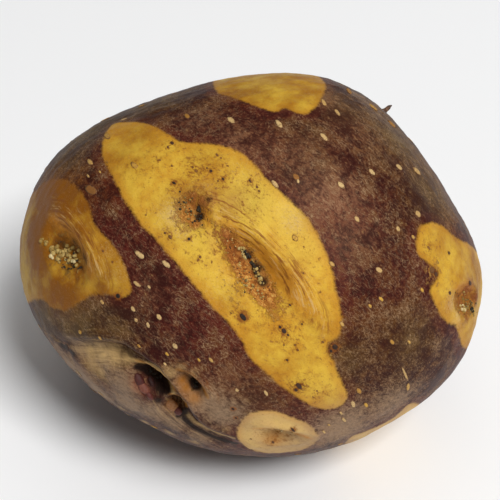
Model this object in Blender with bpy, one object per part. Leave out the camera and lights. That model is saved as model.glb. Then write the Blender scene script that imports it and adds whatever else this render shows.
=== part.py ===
"""A potato tuber, lying on a table: one solid, with its sunken eyes, their brows and buds, a fold at
its blunt end and the stub of its runner.

The body is shaped in its own frame, whose Z axis stands square on its broad side, then leaned back
to the way it lies. Positions on the skin are given as they look from square in front of that side:
millimetres across and up from the middle, and whether they are on the near or the far side.
"""

import math

import bmesh
import bpy
import numpy as np
from mathutils import Matrix, Vector

MM = 0.001

# The body
OUTLINE = (  # millimetres from the middle to the edge of the broad side, every 15 degrees from the right
    44.0, 40.6, 38.8, 38.6, 38.8, 37.6, 36.0, 35.4, 36.2, 38.9, 42.5, 43.7,
    44.0, 42.2, 39.4, 37.6, 36.0, 36.2, 36.5, 37.6, 39.0, 40.7, 43.7, 44.6,
)
NEAR_DEPTH = 36.0  # from the middle out to the near side and to the far side
FAR_DEPTH = 35.0
FULLNESS = 0.94  # 1 gives elliptical sections, and less gives fuller ones
LEAN = math.radians(45)  # how far the broad side leans back from facing the sky
MIDDLE_AT = (-0.10, 0.84, 35.25)  # the body's middle as it lies; the table flattens all that is below 0
CAGE_CELLS = 28  # squares along each edge of the starting cube
CAGE_CROWDED = ("middle", "left", "fold_right", "low", "right", "top", "far_left", "far_middle", "far_right")
CAGE_PULL = 0.42  # how strongly the cage's points are drawn to these eyes, and how far that reaches
CAGE_REACH = 0.34
SKIN_COLOUR = (0.085, 0.022, 0.026, 1.0)

# Broad low swellings: across, up, side, height, radius
SWELLS = (
    (-22.0, 6.0, -1, 1.6, 20.0),
    (20.0, -12.0, -1, 1.4, 17.0),
    (6.0, 22.0, -1, -1.2, 15.0),
    (24.0, 14.0, 1, 0.7, 15.0),
    (-12.0, -20.0, 1, 0.8, 14.0),
    (2.0, 4.0, 1, -0.5, 12.0),
)

# The eyes: where each is, which way its brow faces, half its width, how far its hollow runs to the
# brow and to the open side, its depth, the height of its brow, and the buds standing in it
EYES = {
    "middle": dict(
        at=(1.2, -0.8, 1), turn=42, half=10.5, up=3.8, down=4.6, depth=2.6, brow=0.6, buds=5,
    ),
    "scab": dict(
        at=(-9.0, 8.9, 1), turn=30, half=3.4, up=2.2, down=3.0, depth=0.9, brow=0.3, buds=0,
    ),
    "left": dict(
        at=(-32.5, 2.5, 1), turn=38, half=8.0, up=4.4, down=5.5, depth=2.2, brow=0.6, buds=5,
    ),
    "fold_left": dict(
        at=(-17.6, -20.6, 1), turn=50, half=4.6, up=2.2, down=3.8, depth=3.8, brow=0.4, buds=2,
    ),
    "fold_right": dict(
        at=(-10.0, -20.2, 1), turn=45, half=3.8, up=2.0, down=3.0, depth=2.4, brow=0.5, buds=1,
    ),
    "fold_low": dict(
        at=(-13.6, -25.2, 1), turn=45, half=2.4, up=1.6, down=2.2, depth=2.0, brow=0.0, buds=1,
    ),
    "low": dict(
        at=(5.5, -30.6, 1), turn=75, half=6.0, up=3.0, down=3.6, depth=1.5, brow=0.4, buds=2,
    ),
    "right": dict(
        at=(38.8, -6.3, 1), turn=60, half=5.0, up=2.8, down=4.0, depth=1.5, brow=0.4, buds=3,
    ),
    "top": dict(
        at=(4.0, 33.0, -1), turn=70, half=7.0, up=3.4, down=4.6, depth=1.8, brow=0.5, buds=2,
    ),
    "far_left": dict(
        at=(-26.0, -6.0, -1), turn=45, half=7.5, up=3.4, down=4.8, depth=2.0, brow=0.5, buds=3,
    ),
    "far_middle": dict(
        at=(2.0, 10.0, -1), turn=45, half=7.0, up=3.2, down=4.6, depth=1.8, brow=0.5, buds=2,
    ),
    "far_right": dict(
        at=(31.0, 14.0, -1), turn=40, half=6.0, up=3.0, down=4.0, depth=1.3, brow=0.4, buds=1,
    ),
}
BUD_RADIUS = 0.85
BUD_TALL = 1.35  # its height for its width
BUD_TAPER = 0.1  # how much smaller each next one is, from the middle of the row
BUD_SPACING = 1.5
BUD_STAGGER = 0.5  # how far they stand off their row, by turns to each side

# The fold at the blunt end: its line over the skin, its depth, and how far it slopes to each side
FOLD_LINE = (
    (-34.1, -14.4), (-30.2, -14.6), (-25.9, -14.3), (-21.8, -14.8), (-19.0, -16.5), (-16.4, -18.2),
    (-14.2, -21.1), (-12.4, -23.7), (-11.1, -26.4), (-8.9, -28.8), (-5.9, -30.6), (-2.2, -32.3),
)
FOLD_DEPTH = 2.8
FOLD_STEEP = 1.3  # towards its lip, and towards its open side
FOLD_GENTLE = 4.5
FOLD_LIP = 0.6

# The stub of the runner that the tuber grew on
STUB_AT = (26.6, 30.6, -1)
STUB_ROOT = 1.5  # how deep it starts inside the skin
STUB_NECK = 0.6  # where it begins to bend over
STUB_LENGTH = 2.6
STUB_BEND = (0.175, -0.105, 0.0)
STUB_RADIUS = 0.55
STUB_TAPER = (1.3, 1.0, 0.7)


def outline_radius(angle):
    """Distance from the middle to the edge of the broad side, by a smooth closed curve."""
    count = len(OUTLINE)
    radii = np.array(OUTLINE)
    step = np.mod(angle, 2 * math.pi) / (2 * math.pi) * count
    first = np.floor(step).astype(int)
    t = step - first
    before, start, end, after = (radii[(first + k) % count] for k in (-1, 0, 1, 2))
    return 0.5 * (
        2 * start
        + (end - before) * t
        + (2 * before - 5 * start + 4 * end - after) * t**2
        + (3 * start - before - 3 * end + after) * t**3
    )


def plain_body(directions):
    """Points of the smooth body, in millimetres, for directions from its middle."""
    x, y, z = directions.T
    angle = np.arctan2(y, x)
    flat = np.hypot(x, y)
    wide = outline_radius(angle) * np.power(flat, FULLNESS)
    deep = np.where(z > 0, NEAR_DEPTH, FAR_DEPTH) * np.sign(z) * np.power(np.abs(z), FULLNESS)
    return np.column_stack([wide * np.cos(angle), wide * np.sin(angle), deep])


def direction_at(across, up, side):
    """The direction from the middle to a place on the skin."""
    angle = math.atan2(up, across)
    flat = (math.hypot(across, up) / float(outline_radius(angle))) ** (1 / FULLNESS)
    flat = min(flat, 0.999)
    return np.array([flat * math.cos(angle), flat * math.sin(angle), side * math.sqrt(1 - flat * flat)])


def skin_frame(at):
    """A place on the smooth body, with its outward normal."""
    direction = direction_at(*at)
    beside = np.cross(direction, (0.0, 0.0, 1.0))
    beside /= np.linalg.norm(beside)
    above = np.cross(beside, direction)
    step = 0.01
    near = np.array([direction, direction + step * beside, direction + step * above])
    near /= np.linalg.norm(near, axis=1)[:, None]
    place, one, other = plain_body(near)
    normal = np.cross(one - place, other - place)
    normal /= np.linalg.norm(normal)
    return place, normal * np.sign(normal @ direction)


def eye_axes(eye):
    """The eye's place, its normal, the way along its brow and the way up to its brow."""
    place, normal = skin_frame(eye["at"])
    turn = math.radians(eye["turn"])
    up = np.array([math.cos(turn), math.sin(turn), 0.0])
    up -= (up @ normal) * normal
    up /= np.linalg.norm(up)
    return place, normal, np.cross(up, normal), up


def eye_relief(eye, points):
    """How far the eye raises or sinks each point: a hollow under a raised, curved brow."""
    place, normal, along, up = eye_axes(eye)
    away = points - place
    s = away @ along / eye["half"]
    rise = away @ up
    t = np.where(rise > 0, rise / eye["up"], rise / eye["down"])
    q = np.hypot(s, t)
    near = np.abs(away @ normal) < 3 * eye["half"]
    hollow = -eye["depth"] * np.clip(1 - q**2, 0, None) ** 1.5
    brow = eye["brow"] * np.exp(-(((q - 1.15) / 0.3) ** 2)) * np.clip(t, 0, 1)
    return np.where(near, hollow + brow, 0.0)


def swell_relief(points):
    """The broad swellings that keep the body from being an even egg."""
    rise = np.zeros(len(points))
    for across, up, side, height, radius in SWELLS:
        place, _ = skin_frame((across, up, side))
        rise += height * np.exp(-((np.linalg.norm(points - place, axis=1) / radius) ** 2))
    return rise


def fold_relief(points):
    """The fold: steep under its upper lip and gently sloped on the other side."""
    frames = [skin_frame((across, up, 1)) for across, up in FOLD_LINE]
    closest = np.full(len(points), np.inf)
    signed = np.zeros(len(points))
    travel = np.zeros(len(points))
    pieces = len(frames) - 1
    for index in range(pieces):
        (start, normal), (end, _) = frames[index], frames[index + 1]
        run = end - start
        share = np.clip((points - start) @ run / (run @ run), 0, 1)
        away = points - (start + share[:, None] * run)
        distance = np.linalg.norm(away, axis=1)
        side = np.sign(away @ np.cross(normal, run))
        nearer = distance < closest
        closest = np.where(nearer, distance, closest)
        signed = np.where(nearer, side * distance, signed)
        travel = np.where(nearer, (index + share) / pieces, travel)
    strength = np.sin(math.pi * np.clip(travel, 0.02, 0.98)) ** 0.6
    width = np.where(signed > 0, FOLD_STEEP, FOLD_GENTLE)
    groove = -FOLD_DEPTH * np.exp(-((closest / width) ** 2))
    lip = FOLD_LIP * np.exp(-(((signed - 2 * FOLD_STEEP) / FOLD_STEEP) ** 2))
    return strength * (groove + lip)


def crowded(directions):
    """Draws the cage's points together round the eyes, where the shape needs them."""
    for name in CAGE_CROWDED:
        centre = direction_at(*EYES[name]["at"])
        angle = np.arccos(np.clip(directions @ centre, -1, 1))
        weight = CAGE_PULL * np.exp(-((angle / CAGE_REACH) ** 2))
        directions = directions + weight[:, None] * (centre - directions)
        directions /= np.linalg.norm(directions, axis=1)[:, None]
    return directions


def skin_points(directions):
    """Points of the finished skin, in millimetres, for directions from the middle."""
    points = plain_body(directions)
    rise = swell_relief(points) + fold_relief(points)
    for eye in EYES.values():
        rise += eye_relief(eye, points)
    return points + rise[:, None] * directions


def make_body():
    """A cube of even squares, blown up into a ball and then shaped into the tuber."""
    shape = bmesh.new()
    bmesh.ops.create_cube(shape, size=2)
    bmesh.ops.subdivide_edges(shape, edges=shape.edges[:], cuts=CAGE_CELLS - 1, use_grid_fill=True)
    corners = np.array([v.co for v in shape.verts])
    even = np.tan(corners * math.pi / 4)
    directions = crowded(even / np.linalg.norm(even, axis=1)[:, None])
    for vertex, point in zip(shape.verts, skin_points(directions) * MM):
        vertex.co = point
    mesh = bpy.data.meshes.new("potato")
    shape.to_mesh(mesh)
    shape.free()
    return mesh


def make_bud(place, size, normal, collection):
    """One bud: a small dome, a little taller than it is wide, half sunk in its eye."""
    bpy.ops.mesh.primitive_ico_sphere_add(subdivisions=2, radius=size * MM)
    bud = bpy.context.object
    bud.name = "bud"
    bud.data.transform(Matrix.Diagonal((1.0, 1.0, BUD_TALL, 1.0)))
    bud.rotation_mode = "QUATERNION"
    bud.rotation_quaternion = Vector(normal).to_track_quat("Z", "Y")
    bud.location = Vector(place * MM)
    move_to(bud, collection)


def make_buds(collection):
    """Stands each eye's buds in a short row along it, larger in the middle."""
    for eye in EYES.values():
        place, normal, along, up = eye_axes(eye)
        for index in range(eye["buds"]):
            offset = index - (eye["buds"] - 1) / 2
            spot = place + offset * BUD_SPACING * along + (-1) ** index * BUD_STAGGER * up
            ground = skin_points(direction_under(spot)[None, :])[0]
            size = BUD_RADIUS * (1 - BUD_TAPER * abs(offset))
            make_bud(ground, size, spot / np.linalg.norm(spot), collection)


def direction_under(point):
    """The direction whose point on the smooth body lies over this one."""
    side = 1 if point[2] > 0 else -1
    edge = float(outline_radius(math.atan2(point[1], point[0])))
    inside = min(1.0, 0.998 * edge / max(math.hypot(point[0], point[1]), 1e-9))
    return direction_at(point[0] * inside, point[1] * inside, side)


def make_stub(collection):
    """The withered stub of the runner, tapered and bent over, rooted well inside the skin."""
    place, normal = skin_frame(STUB_AT)
    tip = place + STUB_LENGTH * (normal + np.array(STUB_BEND))
    spine = [place - STUB_ROOT * normal, place + STUB_NECK * normal, tip]
    curve = bpy.data.curves.new("stub", "CURVE")
    curve.dimensions = "3D"
    curve.bevel_depth = STUB_RADIUS * MM
    curve.bevel_resolution = 1
    curve.use_fill_caps = True
    line = curve.splines.new("POLY")
    line.points.add(len(spine) - 1)
    for point, spot, thick in zip(line.points, spine, STUB_TAPER):
        point.co = (*(spot * MM), 1.0)
        point.radius = thick
    guide = bpy.data.objects.new("stub_line", curve)
    collection.objects.link(guide)
    graph = bpy.context.evaluated_depsgraph_get()
    mesh = bpy.data.meshes.new_from_object(guide.evaluated_get(graph))
    bpy.data.objects.remove(guide)
    welded = bmesh.new()
    welded.from_mesh(mesh)
    bmesh.ops.remove_doubles(welded, verts=welded.verts[:], dist=1e-6)
    bmesh.ops.recalc_face_normals(welded, faces=welded.faces[:])
    welded.to_mesh(mesh)
    welded.free()
    collection.objects.link(bpy.data.objects.new("stub", mesh))


def move_to(obj, collection):
    """Takes the object out of its collections and into this one."""
    for old in obj.users_collection:
        old.objects.unlink(obj)
    collection.objects.link(obj)


def lay_down(mesh):
    """Leans the tuber back onto the table, where its underside is pressed flat."""
    middle = Matrix.Translation(Vector(MIDDLE_AT) * MM)
    mesh.transform(middle @ Matrix.Rotation(math.pi / 2 - LEAN, 4, "X"))
    shape = bmesh.new()
    shape.from_mesh(mesh)
    cut = bmesh.ops.bisect_plane(
        shape,
        geom=shape.verts[:] + shape.edges[:] + shape.faces[:],
        plane_co=(0, 0, 0),
        plane_no=(0, 0, -1),
        clear_outer=True,
    )
    rim = [e for e in cut["geom_cut"] if isinstance(e, bmesh.types.BMEdge)]
    bmesh.ops.contextual_create(shape, geom=rim)
    shape.to_mesh(mesh)
    shape.free()


def skin_material():
    """The dark purple skin."""
    material = bpy.data.materials.new("potato_skin")
    material.use_nodes = True
    shader = material.node_tree.nodes["Principled BSDF"]
    shader.inputs["Base Color"].default_value = SKIN_COLOUR
    shader.inputs["Roughness"].default_value = 0.5
    shader.inputs["Metallic"].default_value = 0.0
    return material


def main():
    for obj in list(bpy.data.objects):
        bpy.data.objects.remove(obj)
    parts = bpy.data.collections.new("potato")
    growths = bpy.data.collections.new("growths")
    for collection in (parts, growths):
        bpy.context.scene.collection.children.link(collection)
    potato = bpy.data.objects.new("potato", make_body())
    parts.objects.link(potato)
    make_buds(growths)
    make_stub(growths)
    join = potato.modifiers.new("growths", "BOOLEAN")
    join.operation = "UNION"
    join.operand_type = "COLLECTION"
    join.collection = growths
    graph = bpy.context.evaluated_depsgraph_get()
    joined = bpy.data.meshes.new_from_object(potato.evaluated_get(graph))
    potato.modifiers.clear()
    potato.data = joined
    for growth in list(growths.objects):
        bpy.data.objects.remove(growth)
    lay_down(potato.data)
    potato.data.materials.clear()
    potato.data.materials.append(skin_material())
    potato.data.shade_smooth()


main()
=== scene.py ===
import math

import bmesh
import bpy
import numpy as np
from mathutils import Matrix, Vector
from mathutils.bvhtree import BVHTree


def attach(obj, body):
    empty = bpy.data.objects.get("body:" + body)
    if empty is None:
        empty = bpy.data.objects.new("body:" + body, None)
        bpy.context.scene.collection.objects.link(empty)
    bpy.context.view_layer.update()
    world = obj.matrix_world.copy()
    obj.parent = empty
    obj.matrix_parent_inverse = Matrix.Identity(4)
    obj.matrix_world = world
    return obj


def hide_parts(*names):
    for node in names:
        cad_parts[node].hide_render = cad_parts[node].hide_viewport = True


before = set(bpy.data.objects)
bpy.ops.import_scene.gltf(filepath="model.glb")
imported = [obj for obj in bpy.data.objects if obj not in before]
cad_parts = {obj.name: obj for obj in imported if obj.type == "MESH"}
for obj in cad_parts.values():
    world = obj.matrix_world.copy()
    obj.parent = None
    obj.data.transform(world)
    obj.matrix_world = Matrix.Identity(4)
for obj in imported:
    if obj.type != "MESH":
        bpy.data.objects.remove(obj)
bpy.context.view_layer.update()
mm = 0.001

# The tuber's own axes as it lies: across, up its broad side, and out of that side
lean = math.radians(45)
axisAcross = np.array([1.0, 0.0, 0.0])
axisUp = np.array([0.0, math.cos(lean), math.sin(lean)])
axisOut = np.array([0.0, -math.sin(lean), math.cos(lean)])
tuberAxes = np.array([axisAcross, axisUp, axisOut])
growthTurn = math.radians(46)  # the way from the blunt end to the runner's end, on the broad side
growthAxis = math.cos(growthTurn) * axisAcross + math.sin(growthTurn) * axisUp
crossAxis = math.sin(growthTurn) * axisAcross - math.cos(growthTurn) * axisUp

photo = {
    "pixels": 500,
    "lens": 100.0,
    "sensor": 36.0,
    "distance": 268.0,  # mm from the tuber's middle
    "aimAbove": 2.67,  # mm up the picture from the middle to the picture's centre
    "middlePixel": (250, 264),  # where the tuber's middle is in it
    "drawnIn": 0.01,  # share of the way to the middle that a pixel past the horizon is brought in
}

body = {
    "middleAt": (-0.10, 0.84, 35.25),  # mm, above the table
    "outline": (  # mm from the middle to the edge of the broad side, every 15 degrees from the right
        44.0, 40.6, 38.8, 38.6, 38.8, 37.6, 36.0, 35.4, 36.2, 38.9, 42.5, 43.7,
        44.0, 42.2, 39.4, 37.6, 36.0, 36.2, 36.5, 37.6, 39.0, 40.7, 43.7, 44.6,
    ),
    "easing": 5.0,  # degrees, how far its bends are eased round the outline
    "nearDepth": 36.0,
    "farDepth": 35.0,
    "fullness": 0.94,
    "cells": 128,  # squares along each edge of the ball's cube
    "crowding": 0.45,  # how far the squares are drawn towards some of the eyes
    "crowdReach": 0.36,
    "crowdAt": ("middle", "left", "foldRight", "low", "right", "top", "farLeft", "farMiddle", "farRight"),
}

# Broad low swellings: across, up, side, height, radius
swells = (
    (-22.0, 6.0, -1, 1.6, 20.0),
    (20.0, -12.0, -1, 1.4, 17.0),
    (6.0, 22.0, -1, -1.2, 15.0),
    (24.0, 14.0, 1, 0.7, 15.0),
    (-12.0, -20.0, 1, 0.8, 14.0),
    (2.0, 4.0, 1, -0.5, 12.0),
)

# The eyes: place, way its brow faces, half width, reach to the brow and to the open side, depth and
# height of the brow in mm, then how corky it is, how much painted shade darkens its hollow and how
# lined it is. Those on the far side and the low one have buds: where they stand along and across the
# hollow, how far they spread each way, how many to the square mm, how large and how pale
eyes = {
    "middle": dict(at=(1.2, -0.8, 1), turn=42, half=10.5, up=3.8, down=4.6, depth=2.6, brow=0.6,
                   cork=1.0, ink=0.25, lines=1.0),
    "scab": dict(at=(-9.0, 8.9, 1), turn=30, half=3.4, up=2.2, down=3.0, depth=0.9, brow=0.3,
                 cork=0.9, ink=0.32, lines=0.0),
    "left": dict(at=(-32.5, 2.5, 1), turn=38, half=8.0, up=4.4, down=5.5, depth=2.2, brow=0.6,
                 cork=0.35, ink=0.22, lines=0.6),
    "foldLeft": dict(at=(-17.6, -20.6, 1), turn=50, half=4.6, up=2.2, down=3.8, depth=3.8, brow=0.4,
                     cork=0.2, ink=1.0, lines=0.0),
    "foldRight": dict(at=(-10.0, -20.2, 1), turn=45, half=3.8, up=2.0, down=3.0, depth=2.4, brow=0.5,
                      cork=0.2, ink=0.7, lines=0.25),
    "foldLow": dict(at=(-13.6, -25.2, 1), turn=45, half=2.4, up=1.6, down=2.2, depth=2.0, brow=0.0,
                    cork=0.2, ink=0.8, lines=0.0),
    "low": dict(at=(5.5, -30.6, 1), turn=75, half=6.0, up=3.0, down=3.6, depth=1.5, brow=0.4,
                cork=0.25, ink=0.3, lines=0.0, buds=(0.1, 0.0, 0.3, 0.3, 0.7, 0.25, 0.1)),
    "right": dict(at=(38.8, -6.3, 1), turn=60, half=5.0, up=2.8, down=4.0, depth=1.5, brow=0.4,
                  cork=0.6, ink=0.4, lines=0.0),
    "top": dict(at=(4.0, 33.0, -1), turn=70, half=7.0, up=3.4, down=4.6, depth=1.8, brow=0.5,
                cork=0.6, ink=0.4, lines=0.8, buds=(0.0, 0.05, 0.35, 0.3, 2.0, 0.32, 0.1)),
    "farLeft": dict(at=(-26.0, -6.0, -1), turn=45, half=7.5, up=3.4, down=4.8, depth=2.0, brow=0.5,
                    cork=0.8, ink=0.5, lines=0.8, buds=(0.0, 0.05, 0.4, 0.3, 2.0, 0.34, 0.1)),
    "farMiddle": dict(at=(2.0, 10.0, -1), turn=45, half=7.0, up=3.2, down=4.6, depth=1.8, brow=0.5,
                      cork=0.8, ink=0.5, lines=0.9, buds=(0.0, 0.05, 0.4, 0.3, 2.2, 0.30, 0.0)),
    "farRight": dict(at=(31.0, 14.0, -1), turn=40, half=6.0, up=3.0, down=4.0, depth=1.3, brow=0.4,
                     cork=0.6, ink=0.4, lines=0.6, buds=(0.0, 0.05, 0.4, 0.3, 1.6, 0.30, 0.1)),
}

# The fold at the blunt end
fold = {
    "line": (
        (-34.1, -14.4), (-30.2, -14.6), (-25.9, -14.3), (-21.8, -14.8), (-19.0, -16.5), (-16.4, -18.2),
        (-14.2, -21.1), (-12.4, -23.7), (-11.1, -26.4), (-8.9, -28.8), (-5.9, -30.6), (-2.2, -32.3),
    ),
    "depth": 2.8,
    "steep": 1.3,
    "gentle": 4.5,
    "lip": 0.6,
}


def smoothBetween(before, start, end, after, t):
    # the smooth line through four even steps, at t from the second to the third
    return 0.5 * (
        2 * start
        + (end - before) * t
        + (2 * before - 5 * start + 4 * end - after) * t**2
        + (3 * start - before - 3 * end + after) * t**3
    )


def outlineCurve(angle):
    radii = np.array(body["outline"])
    count = len(radii)
    step = np.mod(angle, 2 * math.pi) / (2 * math.pi) * count
    first = np.floor(step).astype(int)
    before, start, end, after = (radii[(first + k) % count] for k in (-1, 0, 1, 2))
    return smoothBetween(before, start, end, after, step - first)


def outlineRadius(angle):
    # a mean over five places, so that the outline has no quick bends
    step = math.radians(body["easing"])
    shares = (0.0625, 0.25, 0.375, 0.25, 0.0625)
    return sum(share * outlineCurve(angle + (k - 2) * step) for k, share in enumerate(shares))


def plainBody(directions):
    x, y, z = directions.T
    angle = np.arctan2(y, x)
    wide = outlineRadius(angle) * np.power(np.hypot(x, y), body["fullness"])
    depth = np.where(z > 0, body["nearDepth"], body["farDepth"])
    deep = depth * np.sign(z) * np.power(np.abs(z), body["fullness"])
    return np.column_stack([wide * np.cos(angle), wide * np.sin(angle), deep])


def directionAt(across, up, side):
    angle = math.atan2(up, across)
    flat = (math.hypot(across, up) / float(outlineRadius(angle))) ** (1 / body["fullness"])
    flat = min(flat, 0.999)
    return np.array([flat * math.cos(angle), flat * math.sin(angle), side * math.sqrt(1 - flat * flat)])


def skinFrame(at):
    direction = directionAt(*at)
    beside = np.cross(direction, (0.0, 0.0, 1.0))
    beside /= np.linalg.norm(beside)
    above = np.cross(beside, direction)
    step = 0.01
    near = np.array([direction, direction + step * beside, direction + step * above])
    near /= np.linalg.norm(near, axis=1)[:, None]
    place, one, other = plainBody(near)
    normal = np.cross(one - place, other - place)
    normal /= np.linalg.norm(normal)
    return place, normal * np.sign(normal @ direction)


def eyeAxes(eye):
    place, normal = skinFrame(eye["at"])
    turn = math.radians(eye["turn"])
    up = np.array([math.cos(turn), math.sin(turn), 0.0])
    up -= (up @ normal) * normal
    up /= np.linalg.norm(up)
    return place, normal, np.cross(up, normal), up


def eyeChart(eye, points):
    # sideways share, share towards the brow or the open side, and distance in hollows from the middle
    place, normal, along, up = eyeAxes(eye)
    away = points - place
    s = away @ along / eye["half"]
    rise = away @ up
    t = np.where(rise > 0, rise / eye["up"], rise / eye["down"])
    near = np.abs(away @ normal) < 3 * eye["half"]
    return s, t, np.where(near, np.hypot(s, t), 99.0)


def eyeRelief(eye, chart):
    s, t, q = chart
    hollow = -eye["depth"] * np.clip(1 - q**2, 0, None) ** 1.5
    brow = eye["brow"] * np.exp(-(((q - 1.15) / 0.3) ** 2)) * np.clip(t, 0, 1)
    return hollow + brow


def swellRelief(points):
    rise = np.zeros(len(points))
    for across, up, side, height, radius in swells:
        place, _ = skinFrame((across, up, side))
        rise += height * np.exp(-((np.linalg.norm(points - place, axis=1) / radius) ** 2))
    return rise


def foldChart(points):
    # distance to the fold's line, with the sign of its side, and how far along the line that is
    frames = [skinFrame((across, up, 1)) for across, up in fold["line"]]
    closest = np.full(len(points), np.inf)
    signed = np.zeros(len(points))
    travel = np.zeros(len(points))
    pieces = len(frames) - 1
    for index in range(pieces):
        (start, normal), (end, _) = frames[index], frames[index + 1]
        run = end - start
        share = np.clip((points - start) @ run / (run @ run), 0, 1)
        away = points - (start + share[:, None] * run)
        distance = np.linalg.norm(away, axis=1)
        side = np.sign(away @ np.cross(normal, run))
        nearer = distance < closest
        closest = np.where(nearer, distance, closest)
        signed = np.where(nearer, side * distance, signed)
        travel = np.where(nearer, (index + share) / pieces, travel)
    return signed, travel


def foldRelief(signed, travel):
    strength = np.sin(math.pi * np.clip(travel, 0.02, 0.98)) ** 0.6
    width = np.where(signed > 0, fold["steep"], fold["gentle"])
    groove = -fold["depth"] * np.exp(-((signed / width) ** 2))
    lip = fold["lip"] * np.exp(-(((signed - 2 * fold["steep"]) / fold["steep"]) ** 2))
    return strength * (groove + lip)


def crowded(directions):
    # draws the squares of the skin together round the eyes, for their finer shape
    for name in body["crowdAt"]:
        centre = directionAt(*eyes[name]["at"])
        angle = np.arccos(np.clip(directions @ centre, -1, 1))
        weight = body["crowding"] * np.exp(-((angle / body["crowdReach"]) ** 2))
        directions = directions + weight[:, None] * (centre - directions)
        directions /= np.linalg.norm(directions, axis=1)[:, None]
    return directions


def toRow(points):
    # from mm round the tuber's middle to metres in the shared frame
    return (np.atleast_2d(points) @ tuberAxes + np.array(body["middleAt"])) * mm


def turnToRow(vectors):
    return np.atleast_2d(vectors) @ tuberAxes


def waves(points, size, seed, count):
    # smooth seeded unevenness from -1 to 1 with bumps of about this size in mm
    rng = np.random.default_rng(seed)
    total = np.zeros(len(points))
    for _ in range(count):
        way = rng.normal(size=3)
        way /= np.linalg.norm(way)
        stretch = rng.uniform(0.7, 1.4)
        total += np.sin(points @ way * (2 * math.pi / (size * stretch)) + rng.uniform(0, 2 * math.pi))
    return total / math.sqrt(count / 2) / 1.6


def addObject(name, data):
    made = bpy.data.objects.new(name, data)
    bpy.context.scene.collection.objects.link(made)
    return made


# The camera, where the photograph's was
def makeCamera():
    data = bpy.data.cameras.new("camera")
    data.lens = photo["lens"]
    data.sensor_width = photo["sensor"]
    camera = addObject("camera", data)
    spot = toRow(np.array([0.0, photo["aimAbove"], photo["distance"]]))[0]
    turn = Matrix(tuberAxes).transposed()
    camera.matrix_world = Matrix.Translation(spot) @ turn.to_4x4()
    bpy.context.scene.camera = camera
    return camera


camera = makeCamera()
print("camera placed")


# Lenticels, the cream breathing pores of the skin, and dark specks
lenticelLook = {
    "height": 0.10,  # mm, how far one stands proud
    "speckHeight": 0.06,
    "lie": 50.0,  # degrees below the picture's right
    "pixelsToMm": 5.18,
    "roughen": 0.10,
    "roughenScale": 1400.0,
    "facets": 12,
    "rings": 5,
    "slimming": (1.08, 0.84),  # on the lengths and widths that are listed
    "speckSlimming": (0.72, 0.72),
    "hiddenCount": 120,
    "hiddenTries": 60,  # for each of them
    "hiddenGap": 4.6,
    "hiddenLong": (0.9, 2.1),
    "hiddenSlim": (0.5, 0.75),
    "hiddenShade": (0.55, 1.0),
    "hiddenTurn": 12,  # degrees
    "patchGap": 0.8,
    "footRoom": 0.5,  # none lower than this, where the tuber rests
    "seenFrom": 0.04,  # m along its normal, over which the camera sees a place
    "seed": 17,
}
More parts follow.
